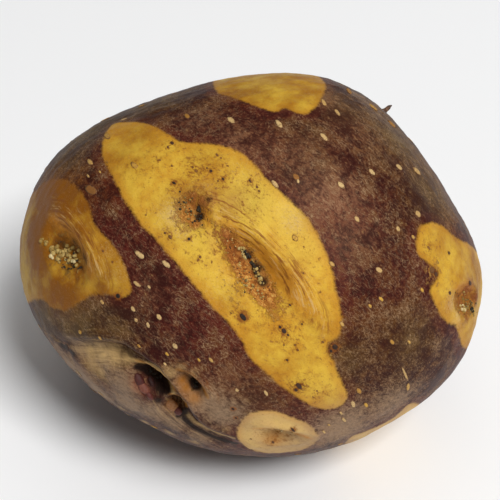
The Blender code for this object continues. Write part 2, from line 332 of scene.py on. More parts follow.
# Each by its pixel in the photograph, its length and width there in mm, its shade from 0, dark, to 1,
# cream, and how far it is turned from the way that most of them lie
lenticels = (
    (231, 120, 1.7, 1.3, 0.95, 0), (279, 124, 2.0, 1.2, 1.0, 5), (324, 137, 2.1, 1.1, 0.95, 0),
    (337, 112, 1.9, 0.8, 0.85, 10), (324, 103, 1.8, 0.9, 0.8, 10), (372, 172, 1.6, 1.0, 1.0, -8),
    (399, 167, 1.6, 0.9, 0.95, -8), (417, 171, 1.9, 0.9, 0.85, -10), (341, 185, 1.8, 1.2, 1.0, -8),
    (275, 184, 1.9, 1.1, 0.95, 0), (357, 219, 1.4, 1.1, 0.9, 0), (398, 229, 1.2, 0.9, 0.9, 20),
    (418, 214, 1.4, 1.2, 0.85, 0), (413, 237, 0.9, 0.7, 0.7, 0), (373, 107, 2.0, 1.2, 0.55, 0),
    (392, 124, 2.0, 1.2, 0.45, 0), (349, 91, 1.8, 1.0, 0.45, 10), (107, 136, 1.6, 1.3, 0.55, 0),
    (90, 162, 1.4, 1.2, 0.75, 0), (187, 116, 1.2, 1.1, 0.45, 0), (88, 176, 0.8, 0.6, 0.8, 0),
    (100, 172, 0.7, 0.6, 0.7, 0), (140, 255, 2.5, 1.3, 1.0, -12), (166, 264, 2.1, 1.2, 1.0, -10),
    (137, 284, 1.8, 0.9, 0.9, -15), (149, 287, 0.8, 0.7, 0.95, 0), (102, 302, 1.1, 0.9, 0.8, 0),
    (133, 309, 1.2, 0.9, 0.95, 0), (136, 320, 0.9, 0.8, 0.9, 0), (148, 325, 1.2, 0.8, 1.0, 20),
    (159, 317, 1.4, 1.1, 0.95, 0), (175, 346, 1.4, 1.1, 1.0, 0), (165, 364, 0.8, 0.6, 0.95, 0),
    (211, 360, 1.2, 0.8, 0.75, 0), (167, 354, 1.0, 0.7, 0.6, 0), (139, 346, 0.9, 0.6, 0.5, 0),
    (237, 390, 0.8, 0.8, 0.95, 0), (199, 360, 0.9, 0.6, 0.6, 0), (379, 270, 1.5, 1.2, 0.9, -20),
    (332, 264, 1.4, 1.0, 0.75, -10), (381, 299, 1.2, 0.9, 0.6, -10), (370, 306, 0.9, 0.8, 0.65, 0),
    (405, 374, 3.0, 0.6, 0.9, 16), (408, 387, 1.5, 0.9, 0.75, 40), (353, 404, 1.3, 1.1, 1.0, 20),
    (366, 405, 1.1, 0.9, 0.6, 0), (359, 391, 1.3, 1.1, 0.5, 0), (341, 413, 0.8, 0.6, 0.9, 0),
    (344, 420, 1.1, 0.8, 0.95, 0), (324, 432, 0.8, 0.6, 0.9, 0), (329, 425, 0.6, 0.6, 0.8, 0),
    (266, 393, 1.3, 0.8, 0.95, 10), (409, 342, 0.9, 0.7, 0.7, 0), (392, 342, 1.2, 0.9, 0.5, 0),
    (342, 324, 1.2, 0.8, 0.75, 0), (422, 290, 1.0, 0.8, 0.6, 0), (80, 332, 0.9, 0.8, 0.6, 0),
    (100, 338, 0.9, 0.6, 0.65, 0), (91, 190, 1.6, 3.2, 0.35, 70), (296, 177, 1.7, 1.3, 0.40, 0),
    (298, 181, 0.9, 0.7, 1.0, 30), (135, 166, 1.9, 1.2, 0.55, -10), (295, 238, 1.5, 1.3, 0.60, 0),
)
# Dark pits, scabs and specks on the yellow skin, in the same way
specks = (
    (243, 317, 2.5, 1.3, 0.0, 0), (174, 183, 1.2, 0.6, 0.0, -20), (118, 296, 1.4, 1.2, 0.0, 0),
    (335, 347, 1.6, 1.5, 0.08, 0), (331, 351, 0.9, 0.8, 0.05, 0), (284, 331, 1.6, 1.2, 0.12, 0),
    (280, 327, 0.9, 0.7, 0.1, 0), (288, 335, 0.8, 0.6, 0.2, 0), (299, 386, 2.0, 1.2, 0.15, 0),
    (296, 390, 1.0, 0.8, 0.12, 0), (287, 360, 0.6, 0.5, 0.1, 0), (172, 143, 1.1, 0.9, 0.2, 0),
    (168, 147, 0.8, 0.6, 0.3, 0), (217, 155, 1.1, 0.5, 0.3, 0), (221, 158, 0.7, 0.6, 0.4, 0),
    (211, 171, 0.9, 0.8, 0.15, 0), (223, 179, 1.0, 0.7, 0.15, 0), (207, 168, 0.6, 0.5, 0.3, 0),
    (218, 181, 0.5, 0.5, 0.25, 0), (250, 181, 1.2, 0.5, 0.2, 0), (257, 187, 0.9, 0.6, 0.3, 0),
    (259, 191, 0.6, 0.5, 0.2, 0), (196, 171, 0.9, 0.6, 0.35, 0), (193, 167, 0.6, 0.4, 0.3, 0),
    (189, 239, 0.9, 0.8, 0.12, 0), (170, 237, 1.3, 0.9, 0.3, 0), (165, 233, 0.7, 0.6, 0.25, 0),
    (200, 257, 0.8, 0.7, 0.3, 0), (198, 260, 0.5, 0.4, 0.3, 0), (449, 253, 0.8, 0.7, 0.2, 0),
    (450, 293, 0.9, 0.8, 0.2, 0), (432, 270, 1.7, 1.5, 0.28, 0), (436, 274, 1.0, 0.9, 0.22, 0),
    (429, 248, 1.2, 0.6, 0.35, 0), (233, 409, 0.9, 0.7, 0.0, 0), (236, 418, 0.7, 0.5, 0.05, 0),
    (172, 166, 0.6, 0.5, 0.3, 0), (160, 160, 0.5, 0.4, 0.3, 0), (228, 166, 0.5, 0.4, 0.3, 0),
    (304, 247, 0.5, 0.4, 0.35, 0), (303, 273, 0.5, 0.4, 0.2, 0), (302, 324, 0.6, 0.5, 0.2, 0),
    (295, 345, 0.5, 0.4, 0.2, 0), (284, 345, 0.5, 0.4, 0.25, 0), (298, 350, 0.6, 0.4, 0.25, 0),
    (323, 342, 0.8, 0.5, 0.3, 0), (317, 391, 0.6, 0.5, 0.35, 0), (313, 397, 0.5, 0.4, 0.3, 0),
    (231, 313, 0.6, 0.4, 0.25, 0), (212, 262, 0.4, 0.4, 0.3, 0), (320, 292, 0.4, 0.4, 0.3, 0),
    (293, 430, 1.4, 0.6, 0.1, 0), (273, 442, 0.9, 0.7, 0.25, 0), (251, 439, 0.5, 0.4, 0.35, 0),
    (67, 347, 2.2, 0.9, 0.1, 30), (146, 215, 0.4, 0.4, 0.3, 0), (290, 305, 0.8, 0.5, 0.2, 0),
    (103, 251, 0.6, 0.5, 0.3, 0), (112, 262, 0.5, 0.4, 0.3, 0), (470, 283, 1.1, 0.8, 0.2, 0),
)


# The skin
skinLook = {
    "undulation": (0.10, 9.0, 4),  # height and size in mm, seed
    "ripple": (0.05, 2.6, 9),
    "corkRoughness": (0.26, 1.5, 14),
    "corkWaves": 40,
    "browLines": 3.4,  # ridges over one reach of the brow
    "browLineHeight": 0.10,
    "lineWaver": (2.2, 6.0, 21),
    "lineBreaks": (0.6, 3.5, 22),
    "wrinkleAt": 2.0,  # mm below the fold, where it wrinkles most
    "wrinkleReach": 5.0,
    "stainRoom": 0.35,  # mm of brown round each speck
}

# Outlines of the yellow patches. Two numbers are a pixel of the photograph, three are a place out of
# its sight: across, up, side.
patches = {
    "middle": dict(tone=0.0, amber=0.0, points=(
        (102, 151), (106, 135), (114, 124), (143, 123), (167, 134), (183, 142), (212, 144), (237, 151),
        (253, 164), (267, 180), (288, 199), (304, 215), (318, 236), (330, 263), (336, 290), (341, 317),
        (338, 336), (328, 346), (334, 365), (342, 382), (347, 395), (341, 406), (323, 409), (303, 401),
        (282, 386), (264, 370), (250, 358), (239, 336), (215, 309), (188, 277), (166, 250), (143, 226),
        (128, 206), (112, 175),
    )),
    "left": dict(tone=0.0, amber=0.6, points=(
        (34, 192), (46, 181), (62, 179), (76, 186), (87, 201), (95, 225), (108, 239), (118, 254),
        (126, 270), (131, 291), (122, 298), (110, 294), (91, 295), (79, 302), (66, 310), (51, 307),
        (40, 299), (-42.5, -8.0, -1), (-39.0, -4.0, -1), (-40.5, 2.0, -1), (-37.5, 6.0, -1),
        (-40.0, 12.0, -1),
    )),
    "top": dict(tone=0.0, amber=0.5, points=(
        (215, 89), (232, 97), (253, 105), (274, 112), (285, 108), (297, 113), (309, 113), (318, 104),
        (323, 93), (325, 83), (10.5, 35.0, -1), (13.0, 32.5, -1), (17.5, 29.5, -1), (15.0, 26.0, -1),
        (9.0, 27.0, -1), (4.5, 24.0, -1), (-0.5, 25.0, -1), (-3.0, 29.0, -1), (-1.5, 33.0, -1),
        (-6.5, 35.0, -1),
    )),
    "right": dict(tone=0.0, amber=0.35, points=(
        (417, 249), (417, 239), (421, 227), (431, 222), (443, 227), (457, 238), (471, 246),
        (42.0, -1.0, -1), (40.0, -8.0, -1), (40.0, -14.0, -1), (466, 348), (460, 338), (456, 327),
        (449, 324), (441, 315), (434, 302), (429, 290), (435, 281), (438, 272), (430, 265), (420, 256),
    )),
    "low": dict(tone=0.75, amber=0.0, points=(
        (237, 433), (243, 420), (254, 412), (272, 411), (289, 416), (306, 423), (316, 431), (318, 439),
        (310, 446), (296, 451), (276, 453), (256, 451), (243, 444),
    )),
    "sliver": dict(tone=0.6, amber=0.0, points=(
        (347, 441), (369, 430), (392, 419), (414, 403), (31.0, -24.0, -1), (24.0, -20.0, -1),
        (15.0, -24.0, -1), (15.0, -32.0, -1),
    )),
}
# Patches round eyes of the far side: half length and half width, seed, and how pale and how amber each is
farPatches = {
    "farLeft": dict(size=(14.0, 8.5), seed=3, tone=0.1, amber=0.4),
    "farMiddle": dict(size=(10.0, 7.0), seed=8, tone=0.0, amber=0.2),
    "farRight": dict(size=(11.0, 7.5), seed=5, tone=0.0, amber=0.3),
}
patchLook = {
    "corners": 22,
    "wobbles": 4,
    "wobble": 0.12,  # share of its size
    "margin": 0.35,  # radians round a patch in which the skin is told how far off it is
    "widest": 3.0,
    "outside": -30.0,  # mm, for the skin farther off
    "meanRadius": 40.0,  # mm, the tuber's, for distances over its skin
}


def castPixel(tree, x, y):
    # the point of the skin that this pixel of the photograph shows, with its normal
    half = photo["sensor"] / photo["lens"]
    shift = np.array([(x / photo["pixels"] - 0.5) * half, (0.5 - y / photo["pixels"]) * half, -1.0])
    way = turnToRow(shift / np.linalg.norm(shift))[0]
    start = camera.matrix_world.translation
    hit, normal, _, _ = tree.ray_cast(start, Vector(way))
    return hit, normal


def skinUnder(tree, x, y):
    # the same for the point alone, where a pixel past the horizon is brought in a little
    hit, _ = castPixel(tree, x, y)
    while hit is None:
        middleX, middleY = photo["middlePixel"]
        x, y = x + (middleX - x) * photo["drawnIn"], y + (middleY - y) * photo["drawnIn"]
        hit, _ = castPixel(tree, x, y)
    return np.array(hit)


def pixelDirection(tree, x, y):
    return ballDirection((skinUnder(tree, x, y) / mm - np.array(body["middleAt"])) @ tuberAxes.T)


def ballDirection(points):
    # the ball's directions for points of the body, near enough
    points = np.atleast_2d(points)
    angle = np.arctan2(points[:, 1], points[:, 0])
    flat = np.clip(np.hypot(points[:, 0], points[:, 1]) / outlineRadius(angle), 0, 2)
    depth = np.where(points[:, 2] > 0, body["nearDepth"], body["farDepth"])
    deep = points[:, 2] / depth
    unit = np.column_stack([flat * np.cos(angle), flat * np.sin(angle), deep])
    return unit / np.linalg.norm(unit, axis=1)[:, None]


def flatChart(centre, directions):
    # lays directions out flat round a centre, in mm, true along every line from it
    beside = np.cross(centre, (0.0, 0.0, 1.0) if abs(centre[2]) < 0.9 else (0.0, 1.0, 0.0))
    beside /= np.linalg.norm(beside)
    above = np.cross(beside, centre)
    a, b = directions @ beside, directions @ above
    angle = np.arccos(np.clip(directions @ centre, -1, 1))
    long = np.hypot(a, b)
    return np.column_stack([a, b]) * (patchLook["meanRadius"] * angle / np.maximum(long, 1e-9))[:, None]


def closedCurve(points, steps=5):
    # a smooth closed line through the points
    before, start, end, after = (np.roll(points, -k, 0) for k in (-1, 0, 1, 2))
    rows = [smoothBetween(before, start, end, after, step / steps) for step in range(steps)]
    return np.stack(rows, 1).reshape(-1, 2)


def insideDistance(line, points):
    # distance in mm from the closed line, positive inside it
    start, end = line, np.roll(line, -1, 0)
    best = np.full(len(points), np.inf)
    inside = np.zeros(len(points), bool)
    for (ax, ay), (bx, by) in zip(start, end):
        run = np.array([bx - ax, by - ay])
        away = points - (ax, ay)
        share = np.clip(away @ run / max(run @ run, 1e-12), 0, 1)
        best = np.minimum(best, np.linalg.norm(away - share[:, None] * run, axis=1))
        if ay != by:
            crosses = (ay > points[:, 1]) != (by > points[:, 1])
            level = (points[:, 1] - ay) / (by - ay) * (bx - ax) + ax
            inside ^= crosses & (points[:, 0] < level)
    return np.where(inside, best, -best)


def farRim(name, patch):
    # an uneven oval round an eye
    place, _, along, up = eyeAxes(eyes[name])
    rng = np.random.default_rng(patch["seed"])
    wobbles = rng.uniform(-patchLook["wobble"], patchLook["wobble"], patchLook["wobbles"])
    turns = np.linspace(0, 2 * math.pi, patchLook["corners"], endpoint=False)
    reach = 1 + sum(wobble * np.sin((k + 2) * turns + 3 * k) for k, wobble in enumerate(wobbles))
    long, wide = patch["size"]
    sideways = np.outer(long * reach * np.cos(turns), along)
    upwards = np.outer(wide * reach * np.sin(turns), up)
    return ballDirection(place + sideways + upwards)


def patchField(tree, directions):
    # how deep each point lies in a yellow patch, in mm, and that patch's tone
    depth = np.full(len(directions), patchLook["outside"])
    tone = np.zeros(len(directions))
    amber = np.zeros(len(directions))
    outlines = [
        (patch, np.array([
            pixelDirection(tree, *point)[0] if len(point) == 2 else directionAt(*point)
            for point in patch["points"]
        ]))
        for patch in patches.values()
    ]
    outlines += [(patch, farRim(name, patch)) for name, patch in farPatches.items()]
    for patch, rim in outlines:
        centre = rim.mean(0)
        centre /= np.linalg.norm(centre)
        reach = np.arccos(np.clip(rim @ centre, -1, 1)).max() + patchLook["margin"]
        close = np.flatnonzero(directions @ centre > math.cos(min(reach, patchLook["widest"])))
        line = closedCurve(flatChart(centre, rim))
        found = insideDistance(line, flatChart(centre, directions[close]))
        better = close[found > depth[close]]
        depth[close] = np.maximum(depth[close], found)
        tone[better] = patch["tone"]
        amber[better] = patch["amber"]
    return depth, tone, amber


# Coloured areas of the skin: pixel of the photograph or place, radius in mm, strength
skinAreas = {
    "russet": (
        ((400, 310), 9.0, 0.8), ((365, 355), 9.0, 1.0), ((405, 370), 8.0, 0.9), ((255, 128), 7.0, 0.5),
        ((370, 160), 8.0, 0.5), ((225, 380), 6.0, 0.6), ((420, 200), 8.0, 0.6),
        ((-10.0, 20.0, -1), 12.0, 0.8), ((20.0, -4.0, -1), 12.0, 0.9), ((-24.0, 14.0, -1), 9.0, 0.6),
    ),
    # olive tint, and near the edges of the tuber a painted rim light
    "olive": (
        ((75, 325), 8.0, 1.0), ((45, 315), 7.0, 0.9), ((110, 325), 5.0, 0.5), ((90, 125), 9.0, 0.9),
        ((60, 165), 7.0, 0.8), ((150, 105), 8.0, 0.8), ((400, 140), 9.0, 0.9), ((340, 100), 7.0, 0.7),
        ((410, 340), 6.0, 0.6), ((430, 185), 8.0, 0.8), ((345, 360), 5.0, 0.5), ((300, 140), 6.0, 0.4),
        ((250, 410), 6.0, 0.5), ((-30.0, 20.0, -1), 9.0, 0.7), ((12.0, -14.0, -1), 9.0, 0.5),
    ),
    # grey-mauve skin in the fold, and painted sheen: the pale reflection along the lower edges and the top
    # right edge, and one spot on the purple
    "mauve": (
        ((60, 352), 3.0, 0.8), ((72, 366), 4.0, 1.0), ((86, 378), 4.0, 1.0), ((100, 392), 5.0, 1.0),
        ((84, 350), 3.5, 1.0), ((104, 358), 4.0, 1.0), ((122, 384), 4.5, 1.0), ((128, 402), 5.0, 1.0),
        ((155, 412), 4.0, 1.0), ((168, 390), 2.0, 0.7), ((175, 422), 3.5, 1.0), ((205, 400), 4.5, 0.9),
        ((188, 380), 3.2, 1.0), ((222, 412), 5.0, 0.9), ((200, 436), 3.5, 0.8), ((155, 366), 2.5, 0.7),
        ((300, 440), 6.0, 0.8), ((340, 428), 8.0, 0.95), ((0.0, -28.0, -1), 8.0, 0.5),
        ((46, 338), 3.5, 0.5), ((390, 405), 7.0, 0.75), ((330, 200), 3.5, 0.35), ((444, 345), 3.0, 0.4),
        ((362, 98), 5.0, 0.55), ((385, 120), 4.0, 0.40), ((412, 392), 5.0, 0.5), ((352, 441), 2.5, 0.8),
        ((372, 431), 2.4, 0.6), ((394, 420), 2.4, 0.6), ((330, 427), 5.0, 0.5),
    ),
    # cream speckle, and painted highlights left of the scab and on the right of the middle patch
    "creamy": (
        ((176, 214), 3.2, 1.0), ((184, 230), 2.5, 0.7), ((294, 222), 2.6, 0.8), ((284, 208), 2.0, 0.5),
        ((228, 282), 5.0, 0.35), ((205, 190), 3.0, 0.4), ((240, 172), 4.0, 0.3), ((458, 322), 2.5, 0.6),
        ((305, 285), 3.0, 0.4), ((452, 302), 2.4, 0.9), ((458, 316), 2.2, 0.8), ((122, 270), 2.5, 0.4),
        ((108, 252), 1.6, 0.5),
    ),
    # pale tan lobe of the fold, with a painted highlight on its ridge and lips
    "tan": (
        ((82, 352), 1.6, 0.5), ((91, 353), 2.2, 0.9), ((102, 353), 2.4, 1.0), ((114, 355), 2.4, 1.0),
        ((126, 358), 1.8, 0.8), ((92, 364), 2.4, 0.8), ((100, 372), 2.0, 0.7), ((106, 380), 1.6, 0.4),
        ((72, 360), 1.6, 0.4), ((76, 376), 1.5, 0.5), ((100, 398), 1.2, 0.6), ((120, 410), 1.2, 0.7),
        ((145, 422), 1.2, 0.8), ((170, 433), 1.3, 0.8), ((195, 442), 1.3, 0.7), ((170, 373), 1.7, 0.65),
        ((181, 368), 1.4, 0.5), ((193, 374), 1.2, 0.45), ((201, 386), 1.1, 0.4), ((225, 430), 1.3, 0.4),
        ((360, 436), 2.0, 0.8), ((380, 427), 2.0, 0.8), ((400, 417), 1.6, 0.6),
    ),
    # amber tint, and painted shade at the far left end and on the middle eye's hollow wall
    "amberish": (
        ((60, 212), 4.5, 1.0), ((42, 225), 4.5, 1.0), ((48, 190), 5.0, 1.5), ((68, 188), 4.5, 1.4),
        ((66, 244), 3.5, 1.2), ((46, 205), 4.0, 1.2), ((84, 204), 3.0, 0.8), ((80, 272), 3.0, 0.7),
        ((38, 262), 5.0, 0.8), ((60, 292), 5.0, 0.8), ((72, 246), 5.0, 0.9), ((100, 286), 2.6, 0.5),
        ((80, 228), 3.0, 0.5), ((110, 190), 4.0, 0.3), ((118, 160), 5.0, 0.5), ((140, 135), 4.0, 0.5),
        ((215, 190), 3.5, 0.5), ((226, 212), 3.0, 0.5), ((280, 272), 3.5, 0.5), ((290, 298), 3.0, 0.45),
        ((125, 148), 3.5, 0.4), ((172, 232), 2.6, 0.4), ((232, 300), 2.6, 0.35), ((300, 360), 3.5, 0.35),
        ((205, 160), 3.5, 0.4), ((260, 252), 2.2, 0.9), ((267, 266), 2.3, 1.0), ((272, 282), 2.0, 0.8),
        ((-38.0, 0.0, -1), 8.0, 1.0), ((455, 232), 3.5, 0.5), ((476, 270), 4.0, 0.6),
        ((245, 205), 5.0, 0.35), ((285, 360), 6.0, 0.3), ((232, 98), 4.0, 0.4), ((190, 205), 5.0, 0.5),
        ((300, 385), 5.0, 0.30), ((325, 400), 4.0, 0.25), ((262, 345), 4.5, 0.25),
        ((322, 332), 4.5, 0.35), ((34, 230), 4.0, 1.2), ((36, 250), 4.0, 0.9),
    ),
    "freckled": (
        ((197, 172), 4.0, 1.0), ((224, 181), 3.2, 0.9), ((214, 168), 3.0, 0.8), ((190, 214), 4.2, 1.0),
        ((212, 202), 3.0, 0.8), ((254, 187), 2.6, 0.7), ((244, 216), 3.6, 0.8), ((289, 335), 3.6, 0.8),
        ((282, 306), 4.0, 0.9), ((218, 234), 2.0, 1.2), ((222, 250), 2.0, 1.1), ((240, 285), 2.6, 0.8),
        ((262, 318), 4.5, 0.6), ((240, 315), 2.4, 0.7), ((320, 392), 3.2, 0.7), ((334, 350), 2.8, 1.0),
        ((170, 236), 2.2, 0.8), ((200, 258), 2.2, 0.8), ((299, 387), 3.4, 1.0), ((432, 270), 3.0, 1.0),
        ((450, 293), 2.4, 0.8), ((468, 296), 4.4, 1.0), ((430, 246), 3.2, 0.8), ((150, 165), 3.5, 0.5),
        ((135, 168), 2.6, 0.7), ((295, 238), 1.8, 0.7), ((172, 145), 3.0, 0.7), ((300, 270), 5.0, 0.4),
        ((275, 440), 2.6, 1.0), ((262, 430), 2.0, 0.8), ((292, 436), 2.2, 0.8), ((250, 442), 1.6, 0.6),
        ((110, 300), 3.0, 0.5), ((180, 190), 3.5, 0.8),
    ),
    "orange": (
        ((187, 388), 1.8, 1.1), ((182, 380), 1.5, 1.1), ((193, 397), 1.5, 1.0), ((173, 406), 1.5, 1.0),
        ((90, 190), 1.9, 1.0), ((274, 437), 2.2, 0.8), ((160, 373), 1.2, 0.6), ((472, 298), 1.2, 0.9),
        ((86, 366), 2.4, 0.4), ((467, 318), 1.3, 0.7), ((193, 206), 2.6, 0.55), ((203, 212), 1.6, 0.6),
        ((230, 244), 2.2, 0.45),
    ),
    # rose-red buds and eye rims, and at the last two a painted sheen on the purple
    "rose": (
        ((140, 384), 1.7, 1.0), ((147, 392), 1.5, 0.8), ((468, 288), 2.6, 0.9), ((476, 300), 2.4, 0.8),
        ((466, 318), 1.4, 0.6), ((460, 304), 2.0, 0.5), ((356, 222), 2.0, 0.5), ((222, 238), 2.4, 0.45),
        ((232, 252), 2.6, 0.3), ((192, 196), 2.4, 0.4), ((210, 200), 1.5, 0.7), ((232, 200), 2.0, 0.5),
        ((276, 146), 4.0, 0.4), ((330, 215), 5.0, 0.4),
    ),
    # painted light: a brighter yellow where the patch is more strongly lit
    "lemon": (
        ((250, 200), 4.5, 0.8), ((270, 190), 3.0, 0.4), ((290, 215), 3.5, 0.6), ((176, 214), 3.2, 0.5),
        ((205, 250), 4.0, 0.3), ((308, 250), 3.0, 0.3),
    ),
    # lighter threads on the purple, and painted sheen where the light glances off its upper part
    "worn": (
        ((237, 143), 4.5, 0.9), ((262, 150), 4.0, 0.6), ((330, 195), 5.5, 1.0), ((352, 235), 4.5, 0.6),
        ((355, 130), 6.0, 0.6), ((330, 100), 5.0, 0.8), ((300, 160), 4.5, 0.6), ((200, 118), 4.0, 0.6),
        ((230, 385), 4.0, 0.5), ((150, 290), 4.0, 0.3),
    ),
    "scabby": (
        ((190, 214), 3.4, 0.80), ((197, 203), 2.6, 0.85), ((184, 222), 2.2, 0.50),
        ((240, 258), 3.0, 0.45), ((247, 280), 3.6, 0.50), ((258, 292), 2.8, 0.45),
        ((468, 298), 3.6, 0.60), ((464, 312), 2.4, 0.50), ((299, 387), 1.8, 0.45),
        ((334, 349), 1.6, 0.55), ((56, 252), 3.0, 0.35), ((80, 262), 2.6, 0.30), ((433, 272), 2.4, 0.50),
    ),
    # painted shade in the fold's pits and creases, in the eye hollows and round the buds
    "soot": (
        ((158, 377), 1.0, 0.9), ((162, 388), 1.5, 1.0), ((158, 400), 1.3, 0.7), ((132, 378), 2.2, 0.35),
        ((146, 396), 2.0, 0.40), ((196, 384), 1.1, 1.0), ((183, 412), 1.1, 1.0), ((72, 264), 1.3, 0.45),
        ((82, 266), 1.2, 0.45), ((200, 217), 0.9, 0.75), ((199, 206), 0.9, 0.5), ((472, 309), 0.8, 0.8),
        ((60, 243), 2.4, 0.45), ((76, 246), 2.4, 0.50), ((85, 258), 2.2, 0.55), ((68, 269), 1.8, 0.45),
        ((50, 262), 1.6, 0.35), ((248, 254), 1.2, 0.5), ((257, 268), 1.2, 0.65), ((262, 282), 1.2, 0.7),
        ((209, 199), 1.1, 0.6),
    ),
}
# Painted shade along the creases of the fold and painted highlight on its pale lips: area, pixels along each,
# radius in mm, strength
creases = (
    ("soot", ((138, 366), (146, 368), (154, 373), (161, 379), (167, 387), (168, 393)), 0.8, 1.1),
    ("soot", ((184, 418), (192, 426), (203, 432), (214, 437), (226, 441), (238, 444)), 0.65, 1.0),
    ("soot", ((62, 345), (68, 349), (75, 355)), 0.7, 1.0),
    ("soot", ((178, 416), (185, 413), (187, 407)), 0.6, 0.9),
    ("tan", ((126, 358), (138, 361), (149, 364), (158, 369), (166, 377), (172, 388), (174, 396)), 0.5, 1.2),
    ("tan", ((186, 413), (195, 422), (207, 428), (221, 434), (236, 439)), 0.5, 0.9),
    ("tan", ((56, 340), (66, 345), (76, 349), (88, 349)), 0.45, 0.5),
)
creaseStep = 2.5  # pixels


def addCreases():
    for name, line, radius, strength in creases:
        for (x, y), (nextX, nextY) in zip(line, line[1:]):
            steps = max(1, round(math.hypot(nextX - x, nextY - y) / creaseStep))
            skinAreas[name] += tuple(
                ((x + (nextX - x) * k / steps, y + (nextY - y) * k / steps), radius, strength)
                for k in range(steps)
            )


addCreases()


def areaField(tree, points, areas):
    field = np.zeros(len(points))
    for at, radius, strength in areas:
        place = skinUnder(tree, *at) if len(at) == 2 else toRow(skinFrame(at)[0])[0]
        distance = np.linalg.norm(points - place, axis=1) / (radius * mm)
        field = np.maximum(field, strength * np.exp(-(distance**2)))
    return field


def cubeBall():
    shape = bmesh.new()
    bmesh.ops.create_cube(shape, size=2)
    cuts = body["cells"] - 1
    bmesh.ops.subdivide_edges(shape, edges=shape.edges[:], cuts=cuts, use_grid_fill=True)
    mesh = bpy.data.meshes.new("skin")
    shape.to_mesh(mesh)
    shape.free()
    corners = np.empty(len(mesh.vertices) * 3)
    mesh.vertices.foreach_get("co", corners)
    even = np.tan(corners.reshape(-1, 3) * math.pi / 4)
    return mesh, crowded(even / np.linalg.norm(even, axis=1)[:, None])


def addField(mesh, name, values):
    field = mesh.attributes.new(name, "FLOAT", "POINT")
    field.data.foreach_set("value", np.asarray(values, np.float32))


# What an eye does to the skin. Distances are in hollows, along the eye and towards its brow.
eyeLook = {
    "farOff": 99.0,
    "reach": 50,
    "corkMiddle": (-0.08, -0.22),
    "corkSize": (0.92, 0.62),
    "corkLean": 0.30,
    "corkEdge": (1.25, 1.6),  # where each area ends, and how quickly
    # where painted shade darkens an eye's hollow: its middle, size and edge
    "hollowShadeMiddle": 0.1,
    "hollowShadeSize": 0.8,
    "hollowShadeEdge": (0.95, 2),
    "wallEdge": (1.15, 4),
    "leastBuds": 0.05,
}


def fallen(distance, edge):
    return np.clip((edge[0] - distance) * edge[1], 0, 1)


def eyeFields(charts, count):
    # which eye is closest, for its lines, and how corky, how darkened by painted shade and how steep each
    # place is
    names = ("browSide", "sweep", "lined", "cork", "ink", "wall", "budRoom", "budSize", "budTone")
    found = {name: np.zeros(count) for name in names}
    found["ring"] = np.full(count, eyeLook["farOff"])
    for name, eye in eyes.items():
        s, t, q = charts[name]
        here = q < eyeLook["reach"]
        closer = q < found["ring"]
        around = np.arctan2(s, np.abs(t) + 0.05)
        for field, value in (("ring", q), ("browSide", t), ("sweep", around), ("lined", eye["lines"])):
            found[field] = np.where(closer, value, found[field])
        (corkS, corkT), (corkLong, corkWide) = eyeLook["corkMiddle"], eyeLook["corkSize"]
        sunk = np.hypot((s - corkS) / corkLong, (t - corkT + eyeLook["corkLean"] * s) / corkWide)
        pit = np.hypot(s / eyeLook["hollowShadeSize"], (t - eyeLook["hollowShadeMiddle"]) / eyeLook["hollowShadeSize"])
        for field, value in (
            ("cork", eye["cork"] * fallen(sunk, eyeLook["corkEdge"])),
            ("ink", eye["ink"] * fallen(pit, eyeLook["hollowShadeEdge"])),
            ("wall", np.clip(t * 3, 0, 1) * fallen(q, eyeLook["wallEdge"])),
        ):
            found[field] = np.maximum(found[field], np.where(here, value, 0))
        if "buds" in eye:
            alongAt, acrossAt, long, wide, density, size, paleness = eye["buds"]
            away = ((s - alongAt) / long) ** 2 + ((t - acrossAt) / wide) ** 2
            room = np.where(here, density * np.exp(-(away**2)), 0)
            more = room > found["budRoom"]
            found["budSize"] = np.where(more, size, found["budSize"])
            found["budTone"] = np.where(more, paleness, found["budTone"])
            found["budRoom"] = np.maximum(found["budRoom"], room)
    return found


def uneven(points, name, count=24):
    height, size, seed = skinLook[name]
    return height * waves(points, size, seed, count)


def browRelief(plain, found):
    ring = found["ring"]
    lines = np.sin(2 * math.pi * skinLook["browLines"] * ring + uneven(plain, "lineWaver"))
    lines *= np.clip(0.55 + uneven(plain, "lineBreaks"), 0, 1) * found["lined"]
    area = np.clip(found["browSide"] * 1.5, 0, 1) * np.clip((ring - 0.6) * 4, 0, 1) * fallen(ring, (1.7, 3))
    return skinLook["browLineHeight"] * lines * area


